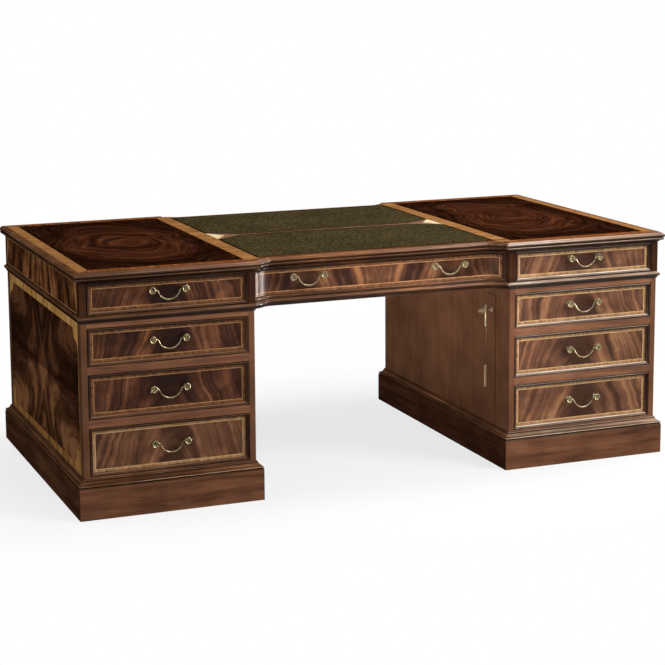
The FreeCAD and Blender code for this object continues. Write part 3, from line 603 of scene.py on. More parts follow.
# Painted shade and highlight by a moulding's tilt, and a stronger one for the drawers' lips.
TILT_SHADE = (
    (0.2, "#5c5c5c"), (0.42, "#848484"), (0.6, "#b0b0b0"), (0.76, WHITE), (0.9, WHITE), (0.98, "#a8a8a8"))
LIP_TILT_SHADE = (
    (0.2, "#4a4a4a"), (0.45, "#5c5c5c"), (0.6, "#868686"), (0.74, WHITE), (0.92, WHITE), (1.0, "#8c8c8c"))
# Polished mahogany mouldings: painted highlight lines where they look up and painted shade under them,
# and darker painted shade on the upright faces.
MOULDED = [
    SolidWood("glazed_moulding_along", ("#5c3823", "#875b3d", "#ab7d5a"), 0.22, 0.12, glaze=TILT_SHADE),
    SolidWood("glazed_moulding_back", ("#644330", "#835b41", "#9c7253"), specular=0.0, grain=Axis.Y,
              glaze=TILT_SHADE),
    # Darker upright faces: painted shade on the drawers' side lips and the flap's edges.
    SolidWood("glazed_moulding_upright", ("#2c1810", "#452a1d", "#5a3827"), specular=0.06, grain=Axis.Z),
]
RING = [*MOULDED[:2], SolidWood("waxed_moulding_top", ("#4a2a18", "#6b4228", "#84573a"), specular=0.0)]
# Mahogany at the right painted pale as a standing sheen, and mahogany with painted shade in the set-back
# middle.
SHEEN_LIP = SolidWood("rubbed_lip", ("#ab8c74", "#d8bca2", "#f0dac4"), 0.22, 0.16, glaze=LIP_TILT_SHADE)
SHEEN_MOULDING = SolidWood("rubbed_moulding", ("#85654d", "#ae8f76", "#cdb39c"), 0.22, 0.16, glaze=LIP_TILT_SHADE)
SHEEN_RING = [SHEEN_MOULDING, *RING[1:]]
CENTRE_MOULDING = SolidWood("shaded_moulding", ("#4a2b16", "#714626", "#97643b"), 0.22, 0.1, glaze=TILT_SHADE)
DESK_RING = [*RING, CENTRE_MOULDING, SHEEN_MOULDING]
# Wood with painted shade where it stays in shadow: the frieze's stiles and the plinths' sides in the
# kneehole.
DARK_STILE = SolidWood("shaded_stile", ("#3c2316", "#4d3021", "#5c3c2b"), specular=0.0, grain=Axis.Z)
SHADED_PLINTH = SolidWood("stained_plinth", ("#3a2116", "#553424", "#69432e"), specular=0.0, grain=Axis.Y)
# Waxed oak of the drawer boxes: pale, broad-striped and matt.
LINING = [SolidWood(f"waxed_oak_lining_{axis.name.lower()}", ("#8f6f4a", "#b08e64", "#c8a87c"), 0.5, 0.2,
                    grain=axis, stripe=0.03) for axis in Axis]
DIVIDER = SolidWood("divider_mahogany", ("#5c3f2e", "#80604a", "#97765e"), specular=0.0)
# Crotch veneers of the drawers: glowing feathers with a dark spine, and darker copies with painted shade
# for the drawers in shadow.
CROTCH = CrotchMahogany("crotch_mahogany", specular=0.08)
SHADED_CROTCH = CrotchMahogany("shaded_crotch", ("#28120a", "#422517", "#623a26", "#8f5c3d"), specular=0.08)
# Painted shade for the set-back centre drawer.
CENTRE_CROTCH = CrotchMahogany(
    "centre_crotch", ("#2e170d", "#4a2b1c", "#6a432c", "#996842"), specular=0.08,
    tones=((0.02, "#808080"), (0.06, "#a4a4a4"), (0.12, "#acacac"), (0.16, "#c0c0c0"), (0.25, "#bcbcbc")))
# Crotch veneers of the ends: broad matt flames, streaked from nearly black to honey on the frieze.
END_CROTCH = CrotchMahogany(
    "frieze_end_crotch", ("#25130c", "#4e2e1b", "#8a5635", "#cf915d"), specular=0.0, arch_width=0.16,
    arch_steepness=2.6, streak=0.075, tones=((0.0, "#bcbcbc"), (1.0, "#bcbcbc")))
PLUME = {
    "specular": 0.0, "wander": 0.12, "arch_width": 0.10, "arch_steepness": 2.4, "streak": 0.08,
    "tones": ((0.0, "#d8d8d8"), (0.07, "#c4c4c4"), (0.15, "#a4a4a4"), (0.3, "#989898"))}
END_PLUME = CrotchMahogany("end_panel_plume", ("#3e2515", "#533321", "#744a31", "#aa754d"), **PLUME)
UPPER_PLUME = CrotchMahogany("end_panel_upper_plume", ("#2d190f", "#3a2216", "#503120", "#7a4e34"), **PLUME)
TOP_FIGURE = OvalFigure("swirl_mahogany", specular=0.0)
# Crossbands of the drawers: satinwood, pale and finely ribbed, and darker copies with painted shade for the
# drawers in shadow.
SATINWOOD = Crossband("satinwood_crossband", ("#8e6340", "#b8895c", "#d4a878"), specular=0.08)
SHADOWED_BAND = Crossband("tawny_crossband", ("#5a3622", "#805334", "#9e6d46"), specular=0.08)
# Painted shade for the set-back centre drawer.
CENTRE_BAND = Crossband("centre_crossband", ("#4e331f", "#6f4b31", "#875c3d"), specular=0.08)
# Crossbands of the ends and the top: matt, with broad stripes of light and dark wood.
STRIPED_BAND = Crossband("striped_end_band", ("#a06428", "#f5b966", "#ffdc98"), specular=0.0, streak=0.02)
FOOT_BAND = Crossband("striped_foot_band", ("#6f4522", "#bb8347", "#dba866"), specular=0.0, streak=0.02)
TOP_BAND = Crossband("honey_mahogany_crossband", ("#6d4524", "#96673b", "#b07f4e"), specular=0.0, streak=0.02)
FRONT_BAND = Crossband("reddish_mahogany_crossband", ("#55301a", "#7d4824", "#996035"), specular=0.0,
                       streak=0.02)
# Boxwood lines and the cream inlay: thin pale strokes between darker woods, and a darker line with painted
# shade for the drawers in shadow.
BOXWOOD = Stringing("boxwood_stringing", ("#d2a972", "#e8c48f"), specular=0.08)
SHADOWED_LINE = Stringing("honey_stringing", ("#b07c4a", "#cf9b63"), specular=0.08)
END_LINE = Stringing("end_stringing", ("#b3824e", "#d8a873"), specular=0.0)
CREAM = Stringing("cream_inlay", ("#cbae7c", "#e6d3ae"), specular=0.0)
# Crossband, line and field of the drawers and the rear panels, and copies with painted shade for the left
# pedestal's upper drawers and the set-back centre drawer.
BANDED = (SATINWOOD, BOXWOOD, CROTCH)
SHADED_BANDED = (SHADOWED_BAND, SHADOWED_LINE, SHADED_CROTCH)
CENTRE_BANDED = (CENTRE_BAND, SHADOWED_LINE, CENTRE_CROTCH)
# Leather: matt and speckled, with a nearly black line along its edge.
LEATHER = GrainedLeather("olive_grained_leather", ("#221f14", "#3b3321", "#625332"), 0.6, 0.0)
DARK_EDGE_LEATHER = GrainedLeather("dark_tooled_leather", ("#120d07", "#1e170d", "#302616"), 0.5, 0.0)
# Brass: dull gold on the handles, dark in their dishes, and bright on the flap's hinges, lock and key, where
# its smoother polish is real and its paler colour is painted highlight.
BRASS = AntiqueBrass("antique_brass", ("#2e271b", "#61563f", "#8f8366"))
DARK_BRASS = AntiqueBrass("tarnished_brass", ("#211b10", "#3a3221", "#5a4f35"), 0.55)
BRIGHT_BRASS = AntiqueBrass("polished_brass", ("#6d5c3c", "#b7a378", "#dccba4"), 0.28)


def cad_copy(node: str, soften: float = 0.0) -> Mesh:
    """Copy a node's mesh, joined into flat faces, with its outer edges eased.

    Args:
        node: Name of the node.
        soften: Width of the easing, or 0 to keep the edges crisp.

    Returns:
        The copy.
    """
    mesh = bmesh.new()
    mesh.from_mesh(frame["nodes"][node].data)
    bmesh.ops.remove_doubles(mesh, verts=mesh.verts[:], dist=WELD)
    bmesh.ops.dissolve_limit(mesh, angle_limit=FLAT, verts=mesh.verts[:], edges=mesh.edges[:])
    for face in mesh.faces:
        face.material_index = 0
    if soften:
        edges = [edge for edge in mesh.edges
                 if len(edge.link_faces) == 2 and edge.is_convex and edge.calc_face_angle() > SHARP]
        bmesh.ops.bevel(mesh, geom=edges, offset=soften, offset_type="OFFSET", segments=2, profile=0.5,
                        affect="EDGES", clamp_overlap=True, material=-1)
    return mesh


def set_grain(mesh: Mesh, choose: Callable[[Vector, Vector], Axis]) -> None:
    """Give each face the finish whose grain suits it.

    Args:
        mesh: Mesh whose finishes stand in the order of the axes.
        choose: Picks the grain for a face's middle and its outward direction.
    """
    for face in mesh.faces:
        face.material_index = choose(face.calc_center_median(), face.normal)


def run_grain(middle: Vector, normal: Vector) -> Axis:
    """Choose the grain of a face of a moulding or a plinth that runs round a box.

    Args:
        middle: Middle of the face.
        normal: Its outward direction.

    Returns:
        The axis of the run that the face looks out from, or Z for a level face.
    """
    if abs(normal.z) > LOOKS_LEVEL:
        return Axis.Z
    return Axis.X if abs(normal.y) >= abs(normal.x) else Axis.Y


def run_copy(node: str, soften: float = 0.0) -> Mesh:
    """Copy a node that runs round a box, with the grain set along its run.

    Args:
        node: Name of the node.
        soften: Width of the easing, or 0 to keep the edges crisp.

    Returns:
        The copy.
    """
    mesh = cad_copy(node, soften)
    set_grain(mesh, run_grain)
    return mesh


def add_desk_ring(name: str, node: str) -> None:
    """Dress a moulding round the desk, with painted shade on its middle and a painted sheen on its right-hand
    part.

    Args:
        name: Name of the piece.
        node: Node of the moulding.
    """
    mesh = run_copy(node)
    for face in mesh.faces:
        x = face.calc_center_median().x
        # Painted shade on the set-back middle, and a painted sheen on the right-hand part.
        if face.material_index == Axis.X and x > -MIDDLE_HALF:
            face.material_index = DESK_RING.index(CENTRE_MOULDING if x < MIDDLE_HALF else SHEEN_MOULDING)
    add_piece(name, mesh, DESK_RING, "desk", [node], ROUNDED)


def split(mesh: Mesh, axis: Axis, places: Sequence[float]) -> None:
    """Cut a mesh's faces along planes square to an axis.

    Args:
        mesh: Mesh to cut.
        axis: Axis that the planes are square to.
        places: Where the planes stand on it.
    """
    normal = Vector((0.0, 0.0, 0.0))
    normal[axis] = 1.0
    for place in places:
        geometry = mesh.verts[:] + mesh.edges[:] + mesh.faces[:]
        bmesh.ops.bisect_plane(mesh, geom=geometry, dist=WELD, plane_co=normal * place, plane_no=normal)


def add_border(mesh: Mesh, field: Face, width: float, number: int) -> None:
    """Part a border from the rim of a field and give it a finish.

    Args:
        mesh: Mesh of the field.
        field: Face that keeps what lies inside the border.
        width: Width of the border.
        number: Number of its finish.
    """
    border = bmesh.ops.inset_region(mesh, faces=[field], thickness=width, use_boundary=True,
                                    use_even_offset=True)
    for face in border["faces"]:
        face.material_index = number


def trim(mesh: Mesh, low: Vector, high: Vector, gap: Point) -> None:
    """Shrink a piece towards its middle, so that a gap shows round it.

    Args:
        mesh: Mesh of the piece.
        low: Its lowest corner.
        high: Its highest corner.
        gap: Width of the gap along each axis.
    """
    scale = [1 - 2 * width / (end - start) for width, start, end in zip(gap, low, high)]
    bmesh.ops.scale(mesh, vec=scale, space=Matrix.Translation(-(low + high) / 2), verts=mesh.verts[:])


def lay_figure(mesh: Mesh, spot: Callable[[Vector, Face], Pair], leaf: float) -> None:
    """Map a flat mesh's figure in metres and number its leaf of veneer.

    Args:
        mesh: Flat mesh.
        spot: Gives the place in the figure of a corner of a face.
        leaf: Number that makes this leaf's figure its own.
    """
    figure = mesh.loops.layers.uv.new(FIGURE)
    number = mesh.faces.layers.float.new(LEAF)
    for face in mesh.faces:
        face[number] = leaf
        for loop in face.loops:
            loop[figure].uv = spot(loop.vert.co, face)


def thicken(mesh: Mesh, thickness: float) -> None:
    """Raise flat faces that look up into a closed sheet of veneer.

    Args:
        mesh: Flat faces at z = 0.
        thickness: Height of the sheet.
    """
    raised = bmesh.ops.extrude_face_region(mesh, geom=mesh.faces[:], use_keep_orig=True)
    tops = [part for part in raised["geom"] if isinstance(part, bmesh.types.BMVert)]
    bmesh.ops.translate(mesh, verts=tops, vec=(0.0, 0.0, thickness))
    bmesh.ops.recalc_face_normals(mesh, faces=mesh.faces[:])


def add_piece(name: str, mesh: Mesh, finishes: Sequence[Finish], body: str,
              replaced: Sequence[str] = (), smooth: float = CRISP) -> None:
    """Make a finished mesh into a piece that rides on a body.

    Args:
        name: Name of the piece.
        mesh: Its mesh, in place, which is used up.
        finishes: Finishes in the order of the faces' material numbers.
        body: Body that carries it.
        replaced: Nodes that it stands for.
        smooth: Angle in degrees up to which the light runs on over an edge.
    """
    data = bpy.data.meshes.new(name)
    mesh.to_mesh(data)
    mesh.free()
    for finish in finishes:
        data.materials.append(finish.material())
    data.shade_smooth()
    data.set_sharp_from_angle(angle=math.radians(smooth))
    piece = bpy.data.objects.new(name, data)
    bpy.context.scene.collection.objects.link(piece)
    weighted = piece.modifiers.new("Even shading", "WEIGHTED_NORMAL")
    weighted.keep_sharp = True
    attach(piece, body)
    if replaced:
        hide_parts(*replaced)
    LOG.info("%s: %d faces on %s", name, len(data.polygons), body)


def arc(centre: Pair, radii: Pair, start: float, end: float, steps: int = 8) -> Outline:
    """Give the points of a stretch of an ellipse.

    Args:
        centre: Centre of the ellipse.
        radii: Its half axes.
        start: Angle of the first point, in degrees.
        end: Angle of the last point, in degrees.
        steps: Number of straight steps between them.

    Returns:
        The points.
    """
    angles = [math.radians(start + (end - start) * index / steps) for index in range(steps + 1)]
    return [(centre[0] + radii[0] * math.cos(angle), centre[1] + radii[1] * math.sin(angle))
            for angle in angles]


@dataclass(frozen=True)
class VeneeredPanel:
    """Flat panel of figured veneer with a crossband and a line of stringing laid round it."""

    width: float
    height: float
    root: Pair = (0.0, 0.0)
    leaf: float = 0.0
    book_matched: bool = False
    crossband: float = 0.009
    stringing: float = 0.0022
    thickness: float = 0.0006

    def build(self) -> Mesh:
        """Lay the panel on the ground round the origin.

        Returns:
            Its mesh, with each face's layer as the number of its finish.
        """
        mesh = bmesh.new()
        bmesh.ops.create_grid(mesh, x_segments=1, y_segments=1, size=0.5)
        bmesh.ops.scale(mesh, vec=(self.width, self.height, 1.0), verts=mesh.verts[:])
        field = mesh.faces[:][0]
        field.material_index = Layer.FIELD
        for layer, width in ((Layer.BAND, self.crossband), (Layer.LINE, self.stringing)):
            if width:
                add_border(mesh, field, width, layer)
        if self.book_matched:
            split(mesh, Axis.X, (0.0,))
        lay_figure(mesh, self.spot, self.leaf)
        thicken(mesh, self.thickness)
        return mesh

    def spot(self, corner: Vector, face: Face) -> Pair:
        """Place a corner in the figure.

        Args:
            corner: Corner of a face.
            face: The face, in the field or in a border.

        Returns:
            Distances from the figure's root in the field, or along and across the run in a border.
        """
        if face.material_index == Layer.FIELD:
            across = abs(corner.x) if self.book_matched else corner.x
            return across - self.root[0], corner.y - self.root[1]
        middle = face.calc_center_median()
        upright = self.width / 2 - abs(middle.x) < self.height / 2 - abs(middle.y)
        return (corner.y, corner.x) if upright else (corner.x, corner.y)


@dataclass(frozen=True)
class CentrePlan:
    """Plan of the frieze's set-back middle: straight, then a hollow arc, a round arc and a square return."""

    inner: float = 0.455
    front: float = 0.535
    setback: float = 0.048
    square: float = 0.020
    run: float = 0.070

    @property
    def straight(self) -> float:
        """Give the half length of the straight middle."""
        return self.inner - self.run

    @property
    def radius(self) -> float:
        """Give the radius of both arcs."""
        rise = self.setback - self.square
        return (self.run ** 2 + rise ** 2) / (4 * rise)

    @property
    def swing(self) -> float:
        """Give the angle of each arc."""
        return 2 * math.atan((self.setback - self.square) / self.run)

    def hollow(self, angle: float, offset: float) -> Pair:
        """Give a point of the hollow arc of the right half.

        Args:
            angle: Angle from the arc's end at the straight middle.
            offset: How far the plan is moved outwards.

        Returns:
            The point's x and y.
        """
        reach = self.radius - offset
        centre = -self.front + self.setback - self.radius
        return self.straight + reach * math.sin(angle), centre + reach * math.cos(angle)

    def round(self, angle: float, offset: float) -> Pair:
        """Give a point of the round arc of the right half.

        Args:
            angle: Angle from the arc's end at the square return.
            offset: How far the plan is moved outwards.

        Returns:
            The point's x and y.
        """
        reach = self.radius + offset
        centre = -self.front + self.square + self.radius
        return self.inner - reach * math.sin(angle), centre - reach * math.cos(angle)

    def half_run(self, offset: float, end: float) -> float:
        """Measure the front from its middle out to an x on the round arc.

        Args:
            offset: How far the front is moved outwards.
            end: The x where it stops.

        Returns:
            Length along the straight and both arcs.
        """
        last = math.asin(max(self.inner - end, 0.0) / (self.radius + offset))
        hollow = (self.radius - offset) * self.swing
        return self.straight + hollow + (self.radius + offset) * (self.swing - last)

    def point(self, run: float, offset: float, lift: float) -> Pair:
        """Give the point at a distance along the front.

        Args:
            run: Signed distance from the middle, along the front moved outwards by the offset.
            offset: How far the measured front is moved outwards.
            lift: How far the point stands off the measured front.

        Returns:
            The point's x and y.
        """
        rest = abs(run) - self.straight
        if rest <= 0:
            return run, -self.front + self.setback - offset - lift
        angle = rest / (self.radius - offset)
        if angle <= self.swing:
            x, y = self.hollow(angle, offset + lift)
        else:
            beyond = rest - self.swing * (self.radius - offset)
            x, y = self.round(self.swing - beyond / (self.radius + offset), offset + lift)
        return math.copysign(x, run), y

    def outline(self, offset: float, outer: float, steps: int = 8) -> Outline:
        """Trace the whole plan of the top, moved outwards by an offset.

        Args:
            offset: How far the plan is moved, below 0 for inwards.
            outer: The x of the frieze's ends.
            steps: Straight steps in each arc.

        Returns:
            The corners, anticlockwise.
        """
        angles = [self.swing * index / steps for index in range(steps + 1)]
        quarter = [self.hollow(angle, offset) for angle in angles]
        quarter += [self.round(angle, offset) for angle in reversed(angles[:-1])]
        quarter += [(self.inner - offset, quarter[-1][1]), (self.inner - offset, -self.front - offset),
                    (outer + offset, -self.front - offset)]
        front = [(-x, y) for x, y in reversed(quarter)] + quarter
        return front + [(-x, -y) for x, y in front]

    def bend(self, mesh: Mesh, offset: float, level: float, rear: bool = False, steps: int = 10) -> None:
        """Wrap a panel that lies on the ground round the plan.

        Args:
            mesh: Panel round the origin, its width along X and its height along Y.
            offset: How far the ground that it lies on is moved outwards from the plan.
            level: Height of the panel's middle.
            rear: Whether it goes on the rear of the desk.
            steps: Straight steps along both arcs of each half.
        """
        first = self.straight
        last = self.half_run(offset, self.inner)
        places = [first + (last - first) * index / steps for index in range(steps)]
        split(mesh, Axis.X, places + [-place for place in places])
        side = -1 if rear else 1
        for vertex in mesh.verts:
            x, y = self.point(vertex.co.x, offset, vertex.co.z)
            vertex.co = (x * side, y * side, level + vertex.co.y)


@dataclass
class TopBanding:
    """Crossbands of the top, laid round the veneers and the leathers and mitred at the veneers' corners."""

    plan: CentrePlan
    inner: float
    outer: float
    front: float
    level: float
    leather: float
    leather_front: float
    ends: float = 1.032
    rebate: float = 0.004
    thickness: float = 0.0008
    leaf: float = 7.0

    def build(self) -> None:
        """Cut the bands from the top's plan, part them at the mitres and lay them level with the veneers."""
        mesh = bmesh.new()
        mesh.faces.new([mesh.verts.new((x, y, 0.0)) for x, y in self.plan.outline(-self.rebate, self.ends)])
        split(mesh, Axis.X, [sign * x for sign in SIGNS for x in (self.leather, self.inner, self.outer)])
        split(mesh, Axis.Y, [sign * y for sign in SIGNS for y in (self.leather_front, self.front)])
        for face in mesh.faces[:]:
            middle = face.calc_center_median()
            x, y = abs(middle.x), abs(middle.y)
            veneered = self.inner < x < self.outer and y < self.front
            if veneered or (x < self.leather and y < self.leather_front):
                bmesh.ops.delete(mesh, geom=[face], context="FACES")
        self.mitre(mesh, self.outer, 1)
        self.mitre(mesh, self.inner, -1)
        for face in mesh.faces:
            face.material_index = 1 if self.lengthwise(face) else 0
        lay_figure(mesh, self.spot, self.leaf)
        thicken(mesh, self.thickness)
        bmesh.ops.translate(mesh, verts=mesh.verts[:], vec=(0.0, 0.0, self.level - self.thickness))
        add_piece("top_crossbanding", mesh, [TOP_BAND, FRONT_BAND], "desk")

    def mitre(self, mesh: Mesh, corner: float, slope: int) -> None:
        """Part the bands on the slant at one corner of each veneer, front and rear.

        Args:
            mesh: The bands, flat.
            corner: The x of the right-hand veneer's corner.
            slope: 1 where the slant leads outwards from the corner, -1 where it leads inwards.
        """
        for side_x in SIGNS:
            for side_y in SIGNS:
                parts = set()
                for face in mesh.faces:
                    middle = face.calc_center_median()
                    x, y = middle.x * side_x, middle.y * side_y
                    if (x - corner) * slope > 0 and y > self.front and x > self.leather:
                        parts.update((face, *face.edges, *face.verts))
                bmesh.ops.bisect_plane(mesh, geom=list(parts), dist=WELD,
                                       plane_co=(side_x * corner, side_y * self.front, 0.0),
                                       plane_no=(side_x * slope, -side_y, 0.0))

    def lengthwise(self, face: Face) -> bool:
        """Tell whether a face is part of a band that runs along the desk.

        Args:
            face: Face of the bands.

        Returns:
            True along the front and the rear, False at the veneers' sides.
        """
        middle = face.calc_center_median()
        x, y = abs(middle.x), abs(middle.y)
        return x < self.leather or y - self.front > max(x - self.outer, self.inner - x)

    def spot(self, corner: Vector, face: Face) -> Pair:
        """Place a corner along and across the run of its band."""
        return (corner.x, corner.y) if self.lengthwise(face) else (corner.y, corner.x)


@dataclass
class DeskTop:
    """Top: core, moulded edge, crossbanded and veneered ends, leathers, divider and its pale points."""

    plan: CentrePlan
    tooling: float = 0.011
    leaf: float = 3.0

    def build(self) -> None:
        """Build the top's pieces."""
        add_desk_ring("top_edge", "top_edge_moulding")
        self.veneers()
        veneer_low, veneer_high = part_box("right_top_veneer")
        leather_low, leather_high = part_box("front_leather")
        TopBanding(self.plan, veneer_low.x, veneer_high.x, veneer_high.y, veneer_high.z, leather_high.x,
                   -leather_low.y).build()
        self.leathers()
        add_piece("top_core", run_copy("top_board"), MAHOGANY, "desk", ["top_board"])

    def veneers(self) -> None:
        """Lay the oval-figured leaf in each end of the top."""
        for side in Side:
            node = f"{side.word}_top_veneer"
            low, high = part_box(node)
            mesh = VeneeredPanel(high.x - low.x, high.y - low.y, leaf=self.leaf + side.value, crossband=0.0,
                                 stringing=0.0, thickness=high.z - low.z).build()
            mesh.transform(Facing.UP.stand(((low.x + high.x) / 2, (low.y + high.y) / 2, low.z)))
            finishes = [TOP_BAND, BOXWOOD, TOP_FIGURE]
            add_piece(f"{node}_leaf", mesh, finishes, "desk", [node])

    def leathers(self) -> None:
        """Dress the two leathers, the divider between them and its pale points."""
        for name in ("front", "rear"):
            node = f"{name}_leather"
            mesh = cad_copy(node)
            hide = max(mesh.faces, key=lambda face: face.normal.z * face.calc_area())
            add_border(mesh, hide, self.tooling, 1)
            add_piece(f"{name}_writing_leather", mesh, [LEATHER, DARK_EDGE_LEATHER], "desk", [node])
        divider = cad_copy("leather_divider")
        add_piece("divider_strip", divider, [DIVIDER], "desk", ["leather_divider"])
        points = cad_copy("divider_inlays")
        add_piece("divider_points", points, [CREAM], "desk", ["divider_inlays"])


@dataclass
class Frieze:
    """Frieze's frame with veneered ends and rear, and the waist moulding under it."""

    plan: CentrePlan
    stile_outer: float = 1.009
    stile_inner: float = 0.478
    stile_lap: float = 0.002
    field_low: float = 0.654
    field_high: float = 0.752
    end_half: float = 0.508
    end_line: float = 0.0025
    end_root: Pair = (-0.45, -0.16)
    end_leaf: float = 11.0
    rear_root: Pair = (0.0, -0.05)
    rear_leaf: float = 15.0
    centre_root: Pair = (0.254, -0.05)
    centre_leaf: float = 17.5
    centre_margin: float = 0.012

    def build(self) -> None:
        """Build the frieze's pieces."""
        mesh = cad_copy("frieze_frame")
        split(mesh, Axis.X, [sign * x for sign in SIGNS for x in (self.stile_inner, self.stile_outer)])
        set_grain(mesh, self.grain)
        # The upright faces take the stile wood with painted shade.
        finishes = [*MAHOGANY[:2], DARK_STILE]
        add_piece("frieze_wood", mesh, finishes, "desk", ["frieze_frame"])
        add_desk_ring("waist_bead", "waist_moulding")
        low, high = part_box("frieze_frame")
        height = self.field_high - self.field_low
        level = self.field_low + height / 2
        for side in Side:
            mesh = VeneeredPanel(2 * self.end_half, height, self.end_root, self.end_leaf + side.value, True,
                                 crossband=0.0, stringing=self.end_line).build()
            mesh.transform(Facing[side.name].stand((side.outer(low, high), 0.0, level)))
            finishes = [SATINWOOD, END_LINE, END_CROTCH]
            add_piece(f"{side.word}_frieze_end_leaves", mesh, finishes, "desk")
        self.rear(height, level, high.y)

    def grain(self, middle: Vector, normal: Vector) -> Axis:
        """Choose upright grain for the stiles and the ends, and level grain for the rest.

        Args:
            middle: Middle of a face.
            normal: Its outward direction.

        Returns:
            The grain.
        """
        if abs(normal.x) > LOOKS_ALONG:
            return Axis.Z
        x = abs(middle.x)
        stile = x > self.stile_outer or self.plan.inner - self.stile_lap < x < self.stile_inner
        return Axis.Z if stile and abs(normal.y) > LOOKS_ALONG else Axis.X

    def rear(self, height: float, level: float, back: float) -> None:
        """Lay a veneered panel on each stretch of the frieze's rear.

        Args:
            height: Height of the panels.
            level: Level of their middle.
            back: The y of the rear.
        """
        width = self.stile_outer - self.stile_inner
        for side in Side:
            mesh = VeneeredPanel(width, height, self.rear_root, self.rear_leaf + side.value).build()
            mesh.transform(Facing.REAR.stand((side.value * (self.stile_inner + width / 2), back, level)))
            add_piece(f"{side.word}_frieze_rear_panel", mesh, BANDED, "desk")
        half = self.plan.half_run(0.0, self.plan.inner - self.centre_margin)
        mesh = VeneeredPanel(2 * half, height, self.centre_root, self.centre_leaf, True).build()
        self.plan.bend(mesh, 0.0, level, rear=True)
        add_piece("centre_frieze_rear_panel", mesh, BANDED, "desk")


@dataclass
class Pedestal:
    """Pedestal: carcass, veneered end and rear, plinth and plinth moulding."""

    side: Side
    stile: float = 0.020
    ease: float = 0.0008
    plinth_ease: float = 0.0012
    end_centre: float = 0.380
    end_edge: float = 0.493
    end_band: float = 0.028
    foot_band: float = 0.025
    shoulder: Pair = (0.436, 0.070)
    toe: Pair = (0.060, 0.044)
    toe_reach: float = 0.450
    toe_step: float = 0.005
    end_line: float = 0.003
    end_veneer: float = 0.0004
    plume_angle: float = 28.0
    rear_gap: float = 0.017
    rear_root: Pair = (0.0, -0.20)
    ground_leaf: float = 21.0
    plume_leaf: float = 25.0
    rear_leaf: float = 31.0

    def build(self) -> None:
        """Build the pedestal's pieces."""
        node = f"{self.side.word}_pedestal"
        low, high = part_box(node)
        inside = (low.x + self.stile, high.x - self.stile)
        mesh = cad_copy(node, self.ease)
        split(mesh, Axis.X, inside)
        # The stiles and the sides have upright grain, and the rails have level grain.
        set_grain(mesh, lambda middle, normal: Axis.X if abs(normal.x) <= LOOKS_ALONG
                  and inside[0] < middle.x < inside[1] else Axis.Z)
        add_piece(f"{node}_carcass", mesh, CARCASS, "desk", [node])
        self.end_panel()
        self.rear_panel(low, high)
        self.plinth()

    def plinth(self) -> None:
        """Dress the plinth, with painted shade on its faces towards the kneehole, and its moulding."""
        node = f"{self.side.word}_plinth"
        mesh = run_copy(node, self.plinth_ease)
        # Painted shade on the faces towards the kneehole.
        for face in mesh.faces:
            if face.normal.x * self.side.value < -LOOKS_ALONG:
                face.material_index = len(MAHOGANY)
        add_piece(f"{node}_wood", mesh, [*MAHOGANY, SHADED_PLINTH], "desk", [node])
        node = f"{node}_moulding"
        # The right-hand moulding takes a painted sheen.
        ring = RING if self.side is Side.LEFT else SHEEN_RING
        add_piece(f"{node}_wood", run_copy(node), ring, "desk", [node], ROUNDED)

    def end_outline(self, low: float, high: float) -> Outline:
        """Trace the shaped field of the end panel, round its own middle.

        Args:
            low: Level of the panel's foot.
            high: Level of its head.

        Returns:
            Corners from the foot anticlockwise, with rounds and steps below and ogee corners above.
        """
        head = high - self.end_band
        foot = low + self.foot_band + self.toe[1]
        width = (self.end_edge - self.shoulder[0]) / 2
        middle = self.shoulder[0] + width
        ogee = (width, self.shoulder[1] / 2)
        half = arc((self.toe_reach - self.toe[0], foot), self.toe, -90, 0)
        half += [(self.toe_reach, foot + self.toe_step), (self.end_edge, foot + 2 * self.toe_step)]
        half += arc((middle, head - self.shoulder[1]), ogee, 0, 90)
        half += arc((middle, head), ogee, 270, 180)[1:]
        return half + [(-x, y) for x, y in reversed(half)]

    def end_panel(self) -> None:
        """Lay the end panel: a striped ground, browner below, and four matched leaves edged by a line."""
        node = f"{self.side.word}_end_panel"
        low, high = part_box(node)
        facing = Facing[self.side.name]
        outer = self.side.outer(low, high)
        thickness = high.x - low.x
        ground = VeneeredPanel(high.y - low.y, high.z - low.z, leaf=self.ground_leaf + self.side.value,
                               crossband=0.0, stringing=0.0, thickness=thickness).build()
        ground.transform(facing.stand((outer - self.side.value * thickness, 0.0, (low.z + high.z) / 2)))
        split(ground, Axis.Z, (self.end_centre,))
        for face in ground.faces:
            if face.calc_center_median().z < self.end_centre:
                face.material_index = Layer.FOOT
        finishes = [STRIPED_BAND, END_LINE, STRIPED_BAND, FOOT_BAND]
        add_piece(f"{node}_ground", ground, finishes, "desk", [node])
        mesh = bmesh.new()
        outline = self.end_outline(low.z - self.end_centre, high.z - self.end_centre)
        field = mesh.faces.new([mesh.verts.new((x, y, 0.0)) for x, y in outline])
        add_border(mesh, field, self.end_line, Layer.LINE)
        split(mesh, Axis.X, (0.0,))
        split(mesh, Axis.Y, (0.0,))
        # The upper pair of leaves is darker than the lower pair, which keeps finish 0.
        for face in mesh.faces:
            if face.material_index != Layer.LINE and face.calc_center_median().y > 0.0:
                face.material_index = Layer.FIELD
        lay_figure(mesh, self.plume_spot, self.plume_leaf)
        thicken(mesh, self.end_veneer)
        mesh.transform(facing.stand((outer, 0.0, self.end_centre)))
        add_piece(f"{node}_leaves", mesh, [END_PLUME, END_LINE, UPPER_PLUME], "desk")

    def plume_spot(self, corner: Vector, face: Face) -> Pair:
        """Place a corner in the plume that slants outwards from the panel's middle.

        Args:
            corner: Corner of a face of the leaves.
            face: The face, which all share one figure.

        Returns:
            Distances across and along the plume, the same in all four leaves.
        """
        across, along = math.sin(math.radians(self.plume_angle)), math.cos(math.radians(self.plume_angle))
        x, y = abs(corner.x), abs(corner.y)
        return x * across - y * along, -x * along - y * across

